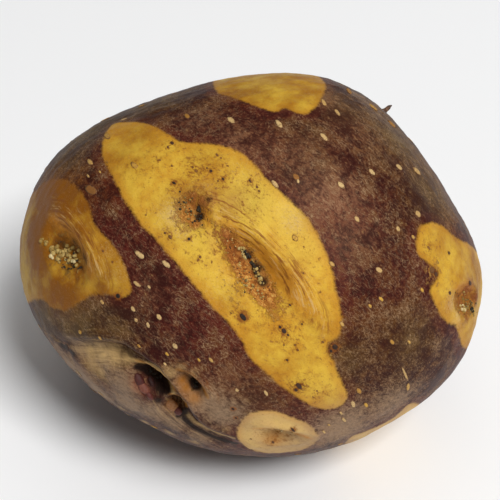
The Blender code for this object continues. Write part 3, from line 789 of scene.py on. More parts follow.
def makeSkin():
    mesh, directions = cubeBall()
    plain = plainBody(directions)
    charts = {name: eyeChart(eye, plain) for name, eye in eyes.items()}
    signed, travel = foldChart(plain)
    found = eyeFields(charts, len(plain))
    rise = swellRelief(plain) + foldRelief(signed, travel)
    for name, eye in eyes.items():
        rise += eyeRelief(eye, charts[name])
    rise += browRelief(plain, found)
    rise += uneven(plain, "undulation")
    rise += uneven(plain, "ripple")
    rise += found["cork"] * uneven(plain, "corkRoughness", skinLook["corkWaves"])

    points = toRow(plain + rise[:, None] * directions)
    points[:, 2] = np.maximum(points[:, 2], 0.0)  # pressed flat on the table
    mesh.vertices.foreach_set("co", points.ravel())
    mesh.update()
    tree = BVHTree.FromPolygons([Vector(p) for p in points], [tuple(f.vertices) for f in mesh.polygons])

    found["patch"], found["tone"], found["amber"] = patchField(tree, ballDirection(plain))
    found["ring"] = np.minimum(found["ring"], 4.0)
    found["browSide"] = np.clip(found["browSide"], -3, 3) * found.pop("lined")
    found["budRoom"] = np.where(found["budRoom"] > eyeLook["leastBuds"], found["budRoom"], 0)
    found["foldSide"] = np.clip(signed, -12, 12)
    found["foldTravel"] = travel
    below = np.exp(-(((signed + skinLook["wrinkleAt"]) / skinLook["wrinkleReach"]) ** 2))
    found["foldNear"] = below * np.clip(travel * 12, 0, 1) * np.clip((1 - travel) * 6, 0, 1)
    for name, areas in skinAreas.items():
        found[name] = areaField(tree, points, areas)
    found["stain"] = areaField(tree, points, [
        ((x, y), 0.5 * long + skinLook["stainRoom"], 1.0 - shade) for x, y, long, _, shade, _ in specks
    ])
    for name, values in found.items():
        addField(mesh, name, values)
    mesh.shade_smooth()
    return addObject("potato_skin", mesh), tree


skin, skinTree = makeSkin()
print("skin shaped,", len(skin.data.polygons), "squares")


# Node trees
class Value:
    # a socket of a node tree: sums and products of values add Math nodes
    def __init__(self, tree, socket=None):
        self.tree = tree
        self.socket = socket

    def node(self, kind, settings=None, inputs=None, output=0):
        made = self.tree.nodes.new(kind)
        for name, setting in (settings or {}).items():
            if name == "stops":
                ramp = made.color_ramp
                while len(ramp.elements) < len(setting):
                    ramp.elements.new(0.5)
                for element, (position, colour) in zip(ramp.elements, setting):
                    element.position = position
                    element.color = colour
            else:
                setattr(made, name, setting)
        for key, given in (inputs or {}).items():
            if isinstance(key, int):
                socket = made.inputs[key]
            else:
                socket = next(s for s in made.inputs if s.enabled and key in (s.name, s.identifier))
            if isinstance(given, Value):
                self.tree.links.new(given.socket, socket)
            else:
                socket.default_value = given
        shown = [s for s in made.outputs if s.enabled]
        if isinstance(output, str):
            return Value(self.tree, next(s for s in shown if output in (s.name, s.identifier)))
        return Value(self.tree, shown[output] if shown else None)

    def maths(self, operation, *others):
        numbers = {index: other for index, other in enumerate(others)}
        return self.node("ShaderNodeMath", {"operation": operation}, numbers)

    def __add__(self, other):
        return self.maths("ADD", self, other)

    def __radd__(self, other):
        return self.maths("ADD", other, self)

    def __sub__(self, other):
        return self.maths("SUBTRACT", self, other)

    def __rsub__(self, other):
        return self.maths("SUBTRACT", other, self)

    def __mul__(self, other):
        return self.maths("MULTIPLY", self, other)

    def __rmul__(self, other):
        return self.maths("MULTIPLY", other, self)

    def most(self, other):
        return self.maths("MAXIMUM", self, other)

    def least(self, other):
        return self.maths("MINIMUM", self, other)

    def __abs__(self):
        return self.maths("ABSOLUTE", self)

    def fade(self, low, high):
        # 0 below low and 1 above high, smooth between, or the other way round if low is the higher
        return self.node(
            "ShaderNodeMapRange",
            {"interpolation_type": "SMOOTHSTEP"},
            {"Value": self, "From Min": low, "From Max": high},
        )

    def colour(self, first, second):
        # from the first colour at 0 to the second at 1
        return self.node("ShaderNodeMix", {"data_type": "RGBA"}, {"Factor": self, "A": first, "B": second})

    def noise(self, scale, detail=3.0, roughness=0.5, distortion=0.0):
        return self.node("ShaderNodeTexNoise", {"normalize": True}, {
            "Vector": self, "Scale": scale, "Detail": detail, "Roughness": roughness,
            "Distortion": distortion,
        })

    def ramp(self, stops):
        return self.node("ShaderNodeValToRGB", {"stops": stops}, {"Fac": self})

    def scaled(self, amount):
        return self.node("ShaderNodeVectorMath", {"operation": "SCALE"}, {0: self, "Scale": amount})


def newMaterial(name):
    material = bpy.data.materials.new(name)
    material.use_nodes = True
    material.node_tree.nodes.clear()
    return material, Value(material.node_tree)


def finishMaterial(start, **inputs):
    shader = start.node("ShaderNodeBsdfPrincipled", None, {k.replace("_", " "): v for k, v in inputs.items()})
    start.node("ShaderNodeOutputMaterial", None, {"Surface": shader})


def attribute(start, name):
    return start.node("ShaderNodeAttribute", {"attribute_name": name}, None, "Fac")


def grownPattern(start):
    # coordinates in mm, x along the growth, y across it
    turn = Matrix([growthAxis, crossAxis, np.cross(growthAxis, crossAxis)]).transposed().to_euler()
    middle = [value * mm for value in body["middleAt"]]
    place = start.node("ShaderNodeTexCoord", None, None, "Object")
    return place.node(
        "ShaderNodeMapping",
        {"vector_type": "TEXTURE"},
        {"Vector": place, "Location": middle, "Rotation": turn, "Scale": (mm, mm, mm)},
    )


skinColours = {
    "deepPurple": (0.030, 0.0055, 0.0048, 1.0),
    "burgundy": (0.098, 0.0150, 0.0105, 1.0),
    "russet": (0.100, 0.038, 0.009, 1.0),
    "netting": (0.330, 0.195, 0.105, 1.0),
    "thread": (0.380, 0.235, 0.125, 1.0),
    # olive, made lighter to also stand for the painted rim light at the edges
    "olive": (0.135, 0.088, 0.022, 1.0),
    # grey-mauve, made lighter to also stand for the painted sheen at the edges
    "mauve": (0.350, 0.225, 0.130, 1.0),
    # pale tan, also the painted highlight on the fold's ridge and lips
    "tan": (0.680, 0.440, 0.175, 1.0),
    # lighter threads, and the painted sheen on the upper purple
    "worn": (0.270, 0.125, 0.060, 1.0),
    "yellow": (0.735, 0.468, 0.052, 1.0),
    # painted light: the brighter yellow of the better lit parts
    "lemon": (0.800, 0.570, 0.085, 1.0),
    "gold": (0.540, 0.240, 0.020, 1.0),
    "amber": (0.250, 0.085, 0.006, 1.0),
    "pale": (0.660, 0.440, 0.185, 1.0),
    "brown": (0.225, 0.070, 0.014, 1.0),
    "wall": (0.620, 0.245, 0.022, 1.0),
    "orange": (0.330, 0.120, 0.012, 1.0),
    # rose-red, also the reddish painted sheen on the purple
    "rose": (0.220, 0.050, 0.030, 1.0),
    # the painted shade of hollows, pits and creases
    "ink": (0.014, 0.006, 0.005, 1.0),
}
corkStops = (
    (0.36, (0.045, 0.013, 0.005, 1.0)),
    (0.45, (0.260, 0.080, 0.015, 1.0)),
    (0.53, (0.520, 0.215, 0.042, 1.0)),
    (0.64, (0.700, 0.480, 0.130, 1.0)),
)


def skinMaterial():
    material, start = newMaterial("potato_skin")
    grown = grownPattern(start)
    squeezed = grown.node("ShaderNodeMapping", None, {"Vector": grown, "Scale": (1.35, 0.85, 1.15)})
    names = (
        "patch", "tone", "amber", "ring", "browSide", "sweep", "cork", "ink", "wall", "stain",
        "foldSide", "foldNear", "foldTravel", *skinAreas,
    )
    field = {name: attribute(start, name) for name in names}
    patch, ring, cork = field["patch"], field["ring"], field["cork"]
    c = skinColours

    broad = grown.noise(0.055, 3, 0.55)
    mid = grown.noise(0.22, 4, 0.6)
    grain = squeezed.noise(0.8, 3, 0.65, 0.4)
    fine = squeezed.noise(2.1, 3, 0.75, 0.3)
    finest = squeezed.noise(4.5, 2, 0.7)
    drawn = grown.node("ShaderNodeMapping", None, {"Vector": grown, "Scale": (1.6, 0.6, 1.1)})
    thread = abs(drawn.noise(0.7, 2, 0.6, 0.9) - 0.5).fade(0.030, 0.004)
    hair = abs(drawn.noise(1.4, 2, 0.6, 0.7) - 0.5).fade(0.036, 0.005)

    # purple skin
    red = (patch.fade(-2.6, -0.2) * 0.45 + broad * 0.5 + grain * 0.5).fade(0.36, 0.66)
    hue = red.colour(c["deepPurple"], c["burgundy"])
    brown = (grain * 0.6 + mid * 0.9 + field["russet"] * 0.20 + field["olive"] * 0.10).fade(0.72, 1.00)
    hue = (brown * 0.62).colour(hue, c["russet"])
    # olive tint, lighter at the edges as painted rim light
    hue = (field["olive"] * (0.30 + mid * 0.7)).colour(hue, c["olive"])
    # amber tint, with painted shade at the far left end
    hue = (field["amberish"] * (0.30 + grain * 0.5)).least(0.8).colour(hue, c["amber"])
    # lighter threads and painted sheen on the upper purple
    hue = (field["worn"] * (grain * 1.3 - 0.1)).colour(hue, c["worn"])
    # rose-red, and painted sheen on the purple
    hue = (field["rose"] * 0.5).colour(hue, c["rose"])
    dark = (fine * 0.40 + grain * 0.45 + mid * 0.5 + broad * 0.2 - field["olive"] * 0.05).fade(0.86, 0.64)
    purple = (dark * (0.85 - field["olive"] * 0.5)).colour(hue, c["deepPurple"])
    flecks = (fine * 0.8 + finest * 0.35 + mid * 0.45 + field["russet"] * 0.05).fade(0.84, 1.04)
    purple = (flecks * 0.48).colour(purple, c["netting"])
    netted = (thread * 0.85 + hair * 0.30) * (mid * 0.8 + broad * 0.3 + fine * 0.5 - 0.3).fade(0.30, 0.86)
    purple = netted.least(0.85).colour(purple, c["thread"])
    ragged = (grain - 0.5) * 1.1 + (fine - 0.5) * 0.8
    # grey-mauve skin and painted sheen
    mauveAndSheen = (field["mauve"] + ragged).fade(0.15, 1.05) * (0.55 + fine * 0.5)
    purple = mauveAndSheen.least(1.0).colour(purple, c["mauve"])
    folds = start.node("ShaderNodeCombineXYZ", None, {
        "X": field["foldSide"] * 1.5, "Y": field["foldTravel"] * 9.0,
    })
    wrinkle = folds.noise(1.0, 3, 0.65, 0.5)
    # darker in the wrinkles' troughs and paler on their crests, as the bump: painted shade and highlight
    purple = (wrinkle.fade(0.50, 0.38) * field["foldNear"] * 0.75).colour(purple, c["deepPurple"])
    purple = (wrinkle.fade(0.54, 0.66) * field["foldNear"] * 0.35).colour(purple, c["tan"])
    # pale tan and painted highlight on the fold's ridge and lips
    tanAndHighlight = (field["tan"] + ragged * 0.5).fade(0.0, 1.35) * (0.65 + wrinkle * 0.5)
    purple = tanAndHighlight.least(0.9).colour(purple, c["tan"])

    # yellow skin
    yellow = (mid * 0.6 + broad * 0.4 + grain * 0.25).fade(0.45, 0.85).colour(c["yellow"], c["gold"])
    yellow = (patch.fade(2.2, 0.1) * 0.6).colour(yellow, c["gold"])
    # painted light on the yellow
    yellow = (field["lemon"] * (0.5 + mid * 0.8)).least(1.0).colour(yellow, c["lemon"])
    # amber of the patches and of the areas round the eyes, with painted shade at the far left and in the
    # middle eye's hollow
    amberedAndShaded = field["amber"] * (mid.fade(0.25, 0.7) * 0.6 + 0.4) + field["amberish"] * (0.35 + grain * 0.9)
    yellow = amberedAndShaded.least(1.0).colour(yellow, c["amber"])
    yellow = (field["tone"] * (0.70 + mid * 0.5)).least(1.0).colour(yellow, c["pale"])
    yellow = (field["tone"] * patch.fade(1.6, 0.0) * 0.5).colour(yellow, c["gold"])
    # grey-mauve skin and painted sheen, on the yellow
    yellow = (field["mauve"] * (0.45 + grain * 0.8)).colour(yellow, c["mauve"])
    # cream speckle, with painted highlights where the area is strong
    creamy = (finest * 0.4 + fine * 0.5 + field["creamy"] * 0.16).fade(0.46, 0.68)
    yellow = (creamy * (0.30 + field["creamy"] * 0.5)).colour(yellow, c["pale"])
    # pale tan and painted highlight, on the yellow
    yellow = (tanAndHighlight * 0.8).colour(yellow, c["tan"])
    yellow = ((fine * 0.6 + finest * 0.4).fade(0.48, 0.32) * 0.35).colour(yellow, c["amber"])
    freckles = (fine * 0.8 + grain * 0.5 + field["freckled"] * 0.17).fade(0.72, 0.96)
    yellow = (freckles * 0.8).colour(yellow, c["brown"])

    edge = patch + (fine - 0.5) * 0.7 + (mid - 0.5) * 1.0 + (grain - 0.5) * 0.8
    inPatch = edge.fade(-0.40, 0.40)
    base = inPatch.colour(purple, yellow)

    # inside the eyes
    streaks = start.node("ShaderNodeCombineXYZ", None, {
        "X": ring * 9.0 + mid * 2.0, "Y": field["sweep"] * 1.7,
    })
    streak = streaks.noise(1.0, 3, 0.6)
    base = (field["wall"] * (0.15 + streak * 0.9)).least(1.0).colour(base, c["wall"])
    lineArea = field["browSide"].fade(0.0, 0.5) * ring.fade(0.45, 0.75) * ring.fade(1.9, 1.35)
    base = (streak.fade(0.54, 0.68) * lineArea * 0.55).colour(base, c["pale"])
    base = (streak.fade(0.49, 0.37) * lineArea * 0.90).colour(base, c["brown"])
    corky = (cork.most(field["scabby"]) * 1.2 + (grain - 0.5) * 1.6 + (fine - 0.5) * 1.0).fade(0.30, 1.00)
    corkTone = (grain * 0.40 + fine * 0.40 + finest * 0.20 - field["rose"] * 0.10).ramp(corkStops)
    base = corky.colour(base, corkTone)
    for name, strength in (("orange", 0.9), ("rose", 0.75)):
        tinted = field[name] * (0.55 + grain * 0.8) * inPatch.most(corky).most(field["mauve"]) * strength
        base = tinted.least(1.0).colour(base, c[name])
    base = ((field["stain"] * 1.5 + (fine - 0.5) * 1.6).fade(0.55, 1.2) * 0.85).colour(base, c["brown"])
    # painted shade in the eye hollows, pits and creases
    paintedShade = field["ink"] * 0.8 + field["soot"] * 1.35 + (grain - 0.5) * 0.8 + (fine - 0.5) * 0.6
    base = (paintedShade.fade(0.30, 1.05) * 0.95).colour(base, c["ink"])

    height = flecks * 0.03 + netted * 0.06 + grain * 0.09 + fine * 0.06 + finest * 0.02
    height = height + corky * (grain * 0.35 + fine * 0.2) + streak * lineArea * 0.12
    height = height + wrinkle * field["foldNear"] * 0.35
    bump = start.node("ShaderNodeBump", None, {"Height": height, "Distance": mm, "Strength": 0.85})
    roughness = 0.38 + fine * 0.16 + corky * 0.25
    finishMaterial(
        start, Base_Color=base, Roughness=roughness, Normal=bump, Specular_IOR_Level=0.10,
        Specular_Tint=(1.0, 0.80, 0.60, 1.0),
    )
    return material


skin.data.materials.append(skinMaterial())
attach(skin, "root")
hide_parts("potato")
print("skin coloured")


# Geometry Nodes
def newGrowth(name, inputs):
    # a Geometry Nodes tree with named inputs, and the identifier of each
    tree = bpy.data.node_groups.new(name, "GeometryNodeTree")
    tree.interface.new_socket("Geometry", in_out="INPUT", socket_type="NodeSocketGeometry")
    tree.interface.new_socket("Geometry", in_out="OUTPUT", socket_type="NodeSocketGeometry")
    keys = {}
    for label, kind in inputs.items():
        socket = tree.interface.new_socket(label, in_out="INPUT", socket_type="NodeSocket" + kind)
        keys[label] = socket.identifier
    start = Value(tree)
    given = tree.nodes.new("NodeGroupInput")
    values = {socket.name: Value(tree, socket) for socket in given.outputs if socket.name}
    return tree, start, values, keys


def finishGrowth(start, shape, material):
    # real faces in one material, shaded smooth
    shape = start.node("GeometryNodeRealizeInstances", None, {"Geometry": shape})
    shape = start.node("GeometryNodeSetShadeSmooth", None, {"Geometry": shape})
    shape = start.node("GeometryNodeSetMaterial", None, {"Geometry": shape, "Material": material})
    start.node("NodeGroupOutput", None, {"Geometry": shape})


def named(start, name, kind="FLOAT"):
    return start.node("GeometryNodeInputNamedAttribute", {"data_type": kind}, {"Name": name}, "Attribute")


def roughened(start, shapes, given):
    # makes the shapes real and pushes their faces unevenly in and out
    real = start.node("GeometryNodeRealizeInstances", None, {"Geometry": shapes})
    uneven = start.node("GeometryNodeInputPosition").noise(given["Roughen Scale"], 2.0)
    push = start.node("GeometryNodeInputNormal").scaled((uneven - 0.5) * given["Roughen"])
    return start.node("GeometryNodeSetPosition", None, {"Geometry": real, "Offset": push})


def grow(name, mesh, tree, keys, settings, material):
    # runs the tree on the mesh and keeps the result as a plain object
    seed = addObject(name + "_seed", mesh)
    growth = seed.modifiers.new("growth", "NODES")
    growth.node_group = tree
    for label, value in settings.items():
        growth[keys[label]] = value
    graph = bpy.context.evaluated_depsgraph_get()
    made = bpy.data.meshes.new_from_object(seed.evaluated_get(graph))
    made.name = name
    bpy.data.objects.remove(seed)
    made.materials.clear()
    made.materials.append(material)
    piece = addObject(name, made)
    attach(piece, "root")
    print(name, "grown,", len(made.polygons), "faces")


def pointCloud(name, rows):
    # points with the way each faces, the way it lies, its size and its shade
    mesh = bpy.data.meshes.new(name)
    mesh.from_pydata([row[0] for row in rows], [], [])
    for index, label in ((1, "facing"), (2, "lying"), (3, "size")):
        field = mesh.attributes.new(label, "FLOAT_VECTOR", "POINT")
        field.data.foreach_set("vector", np.array([row[index] for row in rows], np.float32).ravel())
    addField(mesh, "shade", [row[4] for row in rows])
    return mesh


def seenSpot(x, y, long, wide, shade, turn, height):
    # a spot that looks so long and wide in the photograph, laid on the skin
    hit, normal = castPixel(skinTree, x, y)
    if hit is None:
        return None
    angle = math.radians(lenticelLook["lie"] + turn)
    way = np.array([math.cos(angle), math.sin(angle)])
    sizes = []
    longest = 2.2  # times its listed size, near the horizon
    for reach, step in ((long, way), (wide, np.array([-way[1], way[0]]))):
        shift = step * reach / 2 * lenticelLook["pixelsToMm"]
        ends = [castPixel(skinTree, x + sign * shift[0], y + sign * shift[1])[0] for sign in (1, -1)]
        if None in ends:
            return None
        run = ends[0] - ends[1]
        run -= run.dot(normal) * normal
        if not sizes:
            lying = run.normalized()
            sizes.append(min(run.length, longest * long * mm) / 2)
        else:
            run -= run.dot(lying) * lying
            sizes.append(min(run.length, longest * wide * mm) / 2)
    return tuple(hit), tuple(normal), tuple(lying), (*sizes, height * mm), shade


def hiddenSpot(point, normal, long, wide, shade, turn):
    normal = Vector(normal)
    across = Vector(crossAxis) - normal * Vector(crossAxis).dot(normal)
    lying = Matrix.Rotation(math.radians(turn), 3, normal) @ across.normalized()
    size = (long / 2 * mm, wide / 2 * mm, lenticelLook["height"] * mm)
    return tuple(point), tuple(normal), tuple(lying), size, shade


def spotTree(material):
    tree, start, given, keys = newGrowth(
        "skin_spots", {"Facets": "Int", "Rings": "Int", "Roughen": "Float", "Roughen Scale": "Float"}
    )
    pad = start.node("GeometryNodeMeshUVSphere", None, {
        "Segments": given["Facets"], "Rings": given["Rings"], "Radius": 1.0,
    }, "Mesh")
    place = start.node("GeometryNodeInputPosition")
    flat = place.node("ShaderNodeVectorMath", {"operation": "MULTIPLY"}, {0: place, 1: (1.0, 1.0, 0.0)})
    reach = flat.node("ShaderNodeVectorMath", {"operation": "LENGTH"}, {0: flat}, "Value")
    pad = start.node(
        "GeometryNodeStoreNamedAttribute",
        {"data_type": "FLOAT", "domain": "POINT"},
        {"Geometry": pad, "Name": "rim", "Value": reach},
    )
    facing = start.node(
        "FunctionNodeAlignRotationToVector", {"axis": "Z"}, {"Vector": named(start, "facing", "FLOAT_VECTOR")}
    )
    lying = start.node(
        "FunctionNodeAlignRotationToVector",
        {"axis": "X", "pivot_axis": "Z"},
        {"Rotation": facing, "Vector": named(start, "lying", "FLOAT_VECTOR")},
    )
    pads = start.node("GeometryNodeInstanceOnPoints", None, {
        "Points": given["Geometry"], "Instance": pad, "Rotation": lying,
        "Scale": named(start, "size", "FLOAT_VECTOR"),
    })
    finishGrowth(start, roughened(start, pads, given), material)
    return tree, keys


def spotMaterial():
    material, start = newMaterial("lenticel_cork")
    grown = grownPattern(start)
    rim = attribute(start, "rim")
    shade = attribute(start, "shade")
    grain = grown.noise(3.0, 3, 0.7)
    middle = shade.ramp((
        (0.0, (0.012, 0.008, 0.005, 1.0)),
        (0.2, (0.060, 0.024, 0.010, 1.0)),
        (0.4, (0.300, 0.120, 0.022, 1.0)),
        (0.6, (0.580, 0.320, 0.045, 1.0)),
        (0.8, (0.520, 0.310, 0.100, 1.0)),
        (1.0, (0.610, 0.410, 0.175, 1.0)),
    ))
    edge = shade.fade(0.1, 0.6).colour((0.060, 0.022, 0.010, 1.0), (0.170, 0.075, 0.030, 1.0))
    base = (rim + (grain - 0.5) * 0.9).fade(0.60, 1.0).colour(middle, edge)
    base = (grain.fade(0.50, 0.66) * 0.55).colour(base, edge)
    bump = start.node("ShaderNodeBump", None, {"Height": grain, "Distance": 0.2 * mm, "Strength": 0.6})
    finishMaterial(start, Base_Color=base, Roughness=0.62 + grain * 0.15, Normal=bump, Specular_IOR_Level=0.3)
    return material


def hiddenSpots():
    # more lenticels where the photograph doesn't look, no two closer than the gap
    look = lenticelLook
    rng = np.random.default_rng(look["seed"])
    vertices = np.array([v.co for v in skin.data.vertices])
    cameraAt = np.array(camera.matrix_world.translation)
    kept = [row[0] for row in spotRows(lenticels, look["height"])]
    rows = []
    depth = np.array([item.value for item in skin.data.attributes["patch"].data])
    for _ in range(look["hiddenTries"] * look["hiddenCount"]):
        if len(rows) == look["hiddenCount"]:
            break
        index = int(rng.integers(len(vertices)))
        point = vertices[index]
        normal = np.array(skin.data.vertices[index].normal)
        seen = (cameraAt - point) @ normal > look["seenFrom"]
        close = any(np.linalg.norm(point - np.array(other)) < look["hiddenGap"] * mm for other in kept)
        if seen or close or depth[index] > -look["patchGap"] or point[2] < look["footRoom"] * mm:
            continue
        long = rng.uniform(*look["hiddenLong"])
        wide = long * rng.uniform(*look["hiddenSlim"])
        shade = rng.uniform(*look["hiddenShade"])
        rows.append(hiddenSpot(point, normal, long, wide, shade, rng.normal(0, look["hiddenTurn"])))
        kept.append(tuple(point))
    return rows


def spotRows(listed, height, slimming=(1.0, 1.0)):
    rows = [
        seenSpot(x, y, long * slimming[0], wide * slimming[1], shade, turn, height)
        for x, y, long, wide, shade, turn in listed
    ]
    return [row for row in rows if row is not None]


def spotSettings(look):
    return {
        "Facets": look["facets"], "Rings": look["rings"], "Roughen": look["roughen"] * mm,
        "Roughen Scale": look["roughenScale"],
    }


def makeSpots():
    material = spotMaterial()
    tree, keys = spotTree(material)
    cream = spotRows(lenticels, lenticelLook["height"], lenticelLook["slimming"]) + hiddenSpots()
    dark = spotRows(specks, lenticelLook["speckHeight"], lenticelLook["speckSlimming"])
    for name, rows in (("lenticels", cream), ("specks", dark)):
        grow(name, pointCloud(name, rows), tree, keys, spotSettings(lenticelLook), material)


makeSpots()


# The buds and grains of the eyes that the photograph shows: along which of its pixels they stand, how
# far off that line, how many, their smallest and largest width in mm and darkest and palest shade
clusters = (
    dict(line=((54, 250), (62, 253), (70, 253), (78, 260)), spread=6.5, count=46, size=(0.35, 1.0),
         shade=(0.46, 0.78)),
    dict(line=((54, 246), (64, 262), (74, 252), (80, 262)), spread=6.0, count=22, size=(0.3, 0.6),
         shade=(0.15, 0.90)),
    dict(line=((49, 257), (52, 257)), spread=1.2, count=4, size=(0.5, 0.8), shade=(0.9, 1.0)),
    dict(line=((71, 261), (76, 262)), spread=1.2, count=5, size=(0.5, 0.8), shade=(0.9, 1.0)),
    dict(line=((42, 238), (45, 242)), spread=3.0, count=6, size=(0.5, 1.0), shade=(0.52, 0.64)),
    # black chips under the left eye's cluster: painted shade
    dict(line=((62, 267), (74, 269), (86, 267)), spread=2.0, count=12, size=(0.25, 0.5), shade=(0.0, 0.25)),
    dict(line=((243, 250), (249, 259), (256, 270), (263, 284)), spread=2.0, count=40, size=(0.3, 0.65),
         shade=(0.0, 0.25)),
    dict(line=((241, 248), (244, 256)), spread=2.4, count=14, size=(0.3, 0.7), shade=(0.65, 1.0)),
    dict(line=((253, 267), (258, 276), (262, 286)), spread=2.6, count=24, size=(0.25, 0.6), shade=(0.5, 1.0)),
    dict(line=((236, 264), (246, 282), (262, 296)), spread=7.0, count=34, size=(0.2, 0.45), shade=(0.3, 0.8)),
    dict(line=((198, 206), (200, 219)), spread=3.0, count=11, size=(0.3, 0.65), shade=(0.0, 0.2)),
    dict(line=((184, 198), (190, 210), (196, 226)), spread=7.5, count=30, size=(0.2, 0.5),
         shade=(0.25, 0.65)),
    dict(line=((461, 305), (464, 310)), spread=2.0, count=8, size=(0.4, 0.7), shade=(0.7, 1.0)),
    dict(line=((462, 292), (468, 312), (474, 304)), spread=6.0, count=26, size=(0.25, 0.55),
         shade=(0.3, 0.6)),
    dict(line=((471, 306), (473, 313)), spread=1.6, count=4, size=(0.4, 0.7), shade=(0.0, 0.15)),
    # dark grains in the fold's two pits: painted shade
    dict(line=((192, 378), (197, 386)), spread=2.2, count=8, size=(0.3, 0.6), shade=(0.0, 0.25)),
    dict(line=((150, 370), (160, 377)), spread=2.0, count=8, size=(0.3, 0.6), shade=(0.0, 0.15)),
)
# The swollen buds in the fold: pixel, length, width and height in mm, shade, turn
swollen = (
    (140, 381, 3.4, 1.7, 0.6, 0.22, 12), (144, 388, 3.2, 1.9, 0.7, 0.52, -4),
    (151, 381, 2.4, 1.2, 0.5, 0.08, 20), (150, 396, 2.0, 1.2, 0.5, 0.34, 8),
    (172, 405, 2.6, 2.1, 0.8, 0.92, 0), (178, 411, 1.7, 1.3, 0.6, 0.35, 0),
)
swollenLook = {
    "facets": 28,
    "rings": 18,
    "roughen": 0.7,
    "roughenScale": 500.0,
    "stops": (
        (0.0, (0.025, 0.008, 0.006, 1.0)), (0.3, (0.080, 0.014, 0.010, 1.0)),
        (0.55, (0.170, 0.050, 0.028, 1.0)), (0.8, (0.330, 0.160, 0.070, 1.0)),
        (1.0, (0.250, 0.092, 0.018, 1.0)),
    ),
}


def clusterRows():
    rng = np.random.default_rng(budLook["seed"])
    rows = []
    for cluster in clusters:
        line = np.array(cluster["line"], float)
        for _ in range(cluster["count"]):
            step = rng.uniform(0, len(line) - 1)
            start = int(step)
            spot = line[start] + (step - start) * (line[start + 1] - line[start])
            x, y = spot + rng.normal(0, cluster["spread"] / 2, 2)
            width = rng.uniform(*cluster["size"])
            hit, normal = castPixel(skinTree, x, y)
            if hit is None:
                continue
            lying = normal.orthogonal().normalized()
            long, wide, tall = (width / 2 * mm * rng.uniform(0.8, 1.25) for _ in range(3))
            raised = hit + normal * tall * budLook["lift"]
            shade = rng.uniform(*cluster["shade"])
            rows.append((tuple(raised), tuple(normal), tuple(lying), (long, wide, tall), shade))
    return rows


# Buds and corky crumbs in the eyes. The buds that the photograph shows are round, with facets and rings,
# and the others are ball-like, split so many times.
budLook = {
    "facets": 8,
    "rings": 6,
    "splits": 3,
    "perSquareMm": 1.0,
    "seed": 5,
    "lift": 0.10,
    "roughen": 0.34,  # mm
    "roughenScale": 1300.0,
    "smallest": 0.45,
    "stops": (
        (0.00, (0.012, 0.010, 0.006, 1.0)), (0.34, (0.045, 0.028, 0.010, 1.0)),
        (0.55, (0.310, 0.190, 0.040, 1.0)), (0.78, (0.470, 0.330, 0.105, 1.0)),
        (1.00, (0.640, 0.520, 0.270, 1.0)),
    ),
}
crumbLook = {
    "splits": 1,
    "perSquareMm": 1.5,
    "seed": 11,
    "size": 0.17,
    "lift": 0.02,
    "roughen": 0.05,
    "roughenScale": 3000.0,
    "smallest": 0.4,
    "leastCork": 0.3,
    "stops": (
        (0.00, (0.030, 0.010, 0.004, 1.0)), (0.40, (0.140, 0.048, 0.011, 1.0)),
        (0.75, (0.360, 0.175, 0.038, 1.0)), (1.00, (0.620, 0.430, 0.150, 1.0)),
    ),
}


def skinPiece(name, field, least, size=None):
    # a copy of the squares of the skin where this field is over the least, with how densely grains grow
    # there, their size in mm, which is that of the eye's buds where none is given, and their paleness
    source = skin.data

    def read(label):
        return np.array([item.value for item in source.attributes[label].data])

    values = read(field)
    faces = [f.vertices[:] for f in source.polygons if min(values[v] for v in f.vertices) > least]
    used = sorted({v for face in faces for v in face})
    number = {v: k for k, v in enumerate(used)}
    mesh = bpy.data.meshes.new(name)
    mesh.from_pydata([source.vertices[v].co for v in used], [], [[number[v] for v in face] for face in faces])
    addField(mesh, "density", values[used])
    addField(mesh, "grainSize", read("budSize")[used] if size is None else np.full(len(used), size))
    addField(mesh, "grainTone", read("budTone")[used] if size is None else np.zeros(len(used)))
    return mesh


def grainTree(name, material):
    tree, start, given, keys = newGrowth(name, {
        "Per Square Metre": "Float", "Seed": "Int", "Smallest": "Float", "Lift": "Float",
        "Roughen": "Float", "Roughen Scale": "Float", "Splits": "Int",
    })
    scattered = start.node("GeometryNodeDistributePointsOnFaces", {"distribute_method": "RANDOM"}, {
        "Mesh": given["Geometry"], "Density": named(start, "density") * given["Per Square Metre"],
        "Seed": given["Seed"],
    })
    facing = Value(tree, scattered.socket.node.outputs["Rotation"])
    out = Value(tree, scattered.socket.node.outputs["Normal"])
    grain = start.node("GeometryNodeMeshIcoSphere", None, {
        "Radius": mm, "Subdivisions": given["Splits"],
    }, "Mesh")

    def chance(low, seed):
        draw = {"Min": low, "Max": 1.0, "Seed": seed}
        return start.node("FunctionNodeRandomValue", {"data_type": "FLOAT"}, draw, "Value")

    size = chance(given["Smallest"], 3) * named(start, "grainSize")
    lifted = out.scaled(size * given["Lift"])
    points = start.node("GeometryNodeSetPosition", None, {"Geometry": scattered, "Offset": lifted})
    grains = start.node("GeometryNodeInstanceOnPoints", None, {
        "Points": points, "Instance": grain, "Rotation": facing, "Scale": size,
    })
    grains = start.node(
        "GeometryNodeStoreNamedAttribute",
        {"data_type": "FLOAT", "domain": "INSTANCE"},
        {"Geometry": grains, "Name": "shade", "Value": chance(0.0, 8) + named(start, "grainTone")},
    )
    finishGrowth(start, roughened(start, grains, given), material)
    return tree, keys


def grainSettings(look):
    return {
        "Per Square Metre": look["perSquareMm"] * (1.0 / mm**2), "Seed": look["seed"],
        "Smallest": look["smallest"], "Lift": look["lift"] * mm, "Roughen": look["roughen"] * mm,
        "Roughen Scale": look["roughenScale"], "Splits": look["splits"],
    }


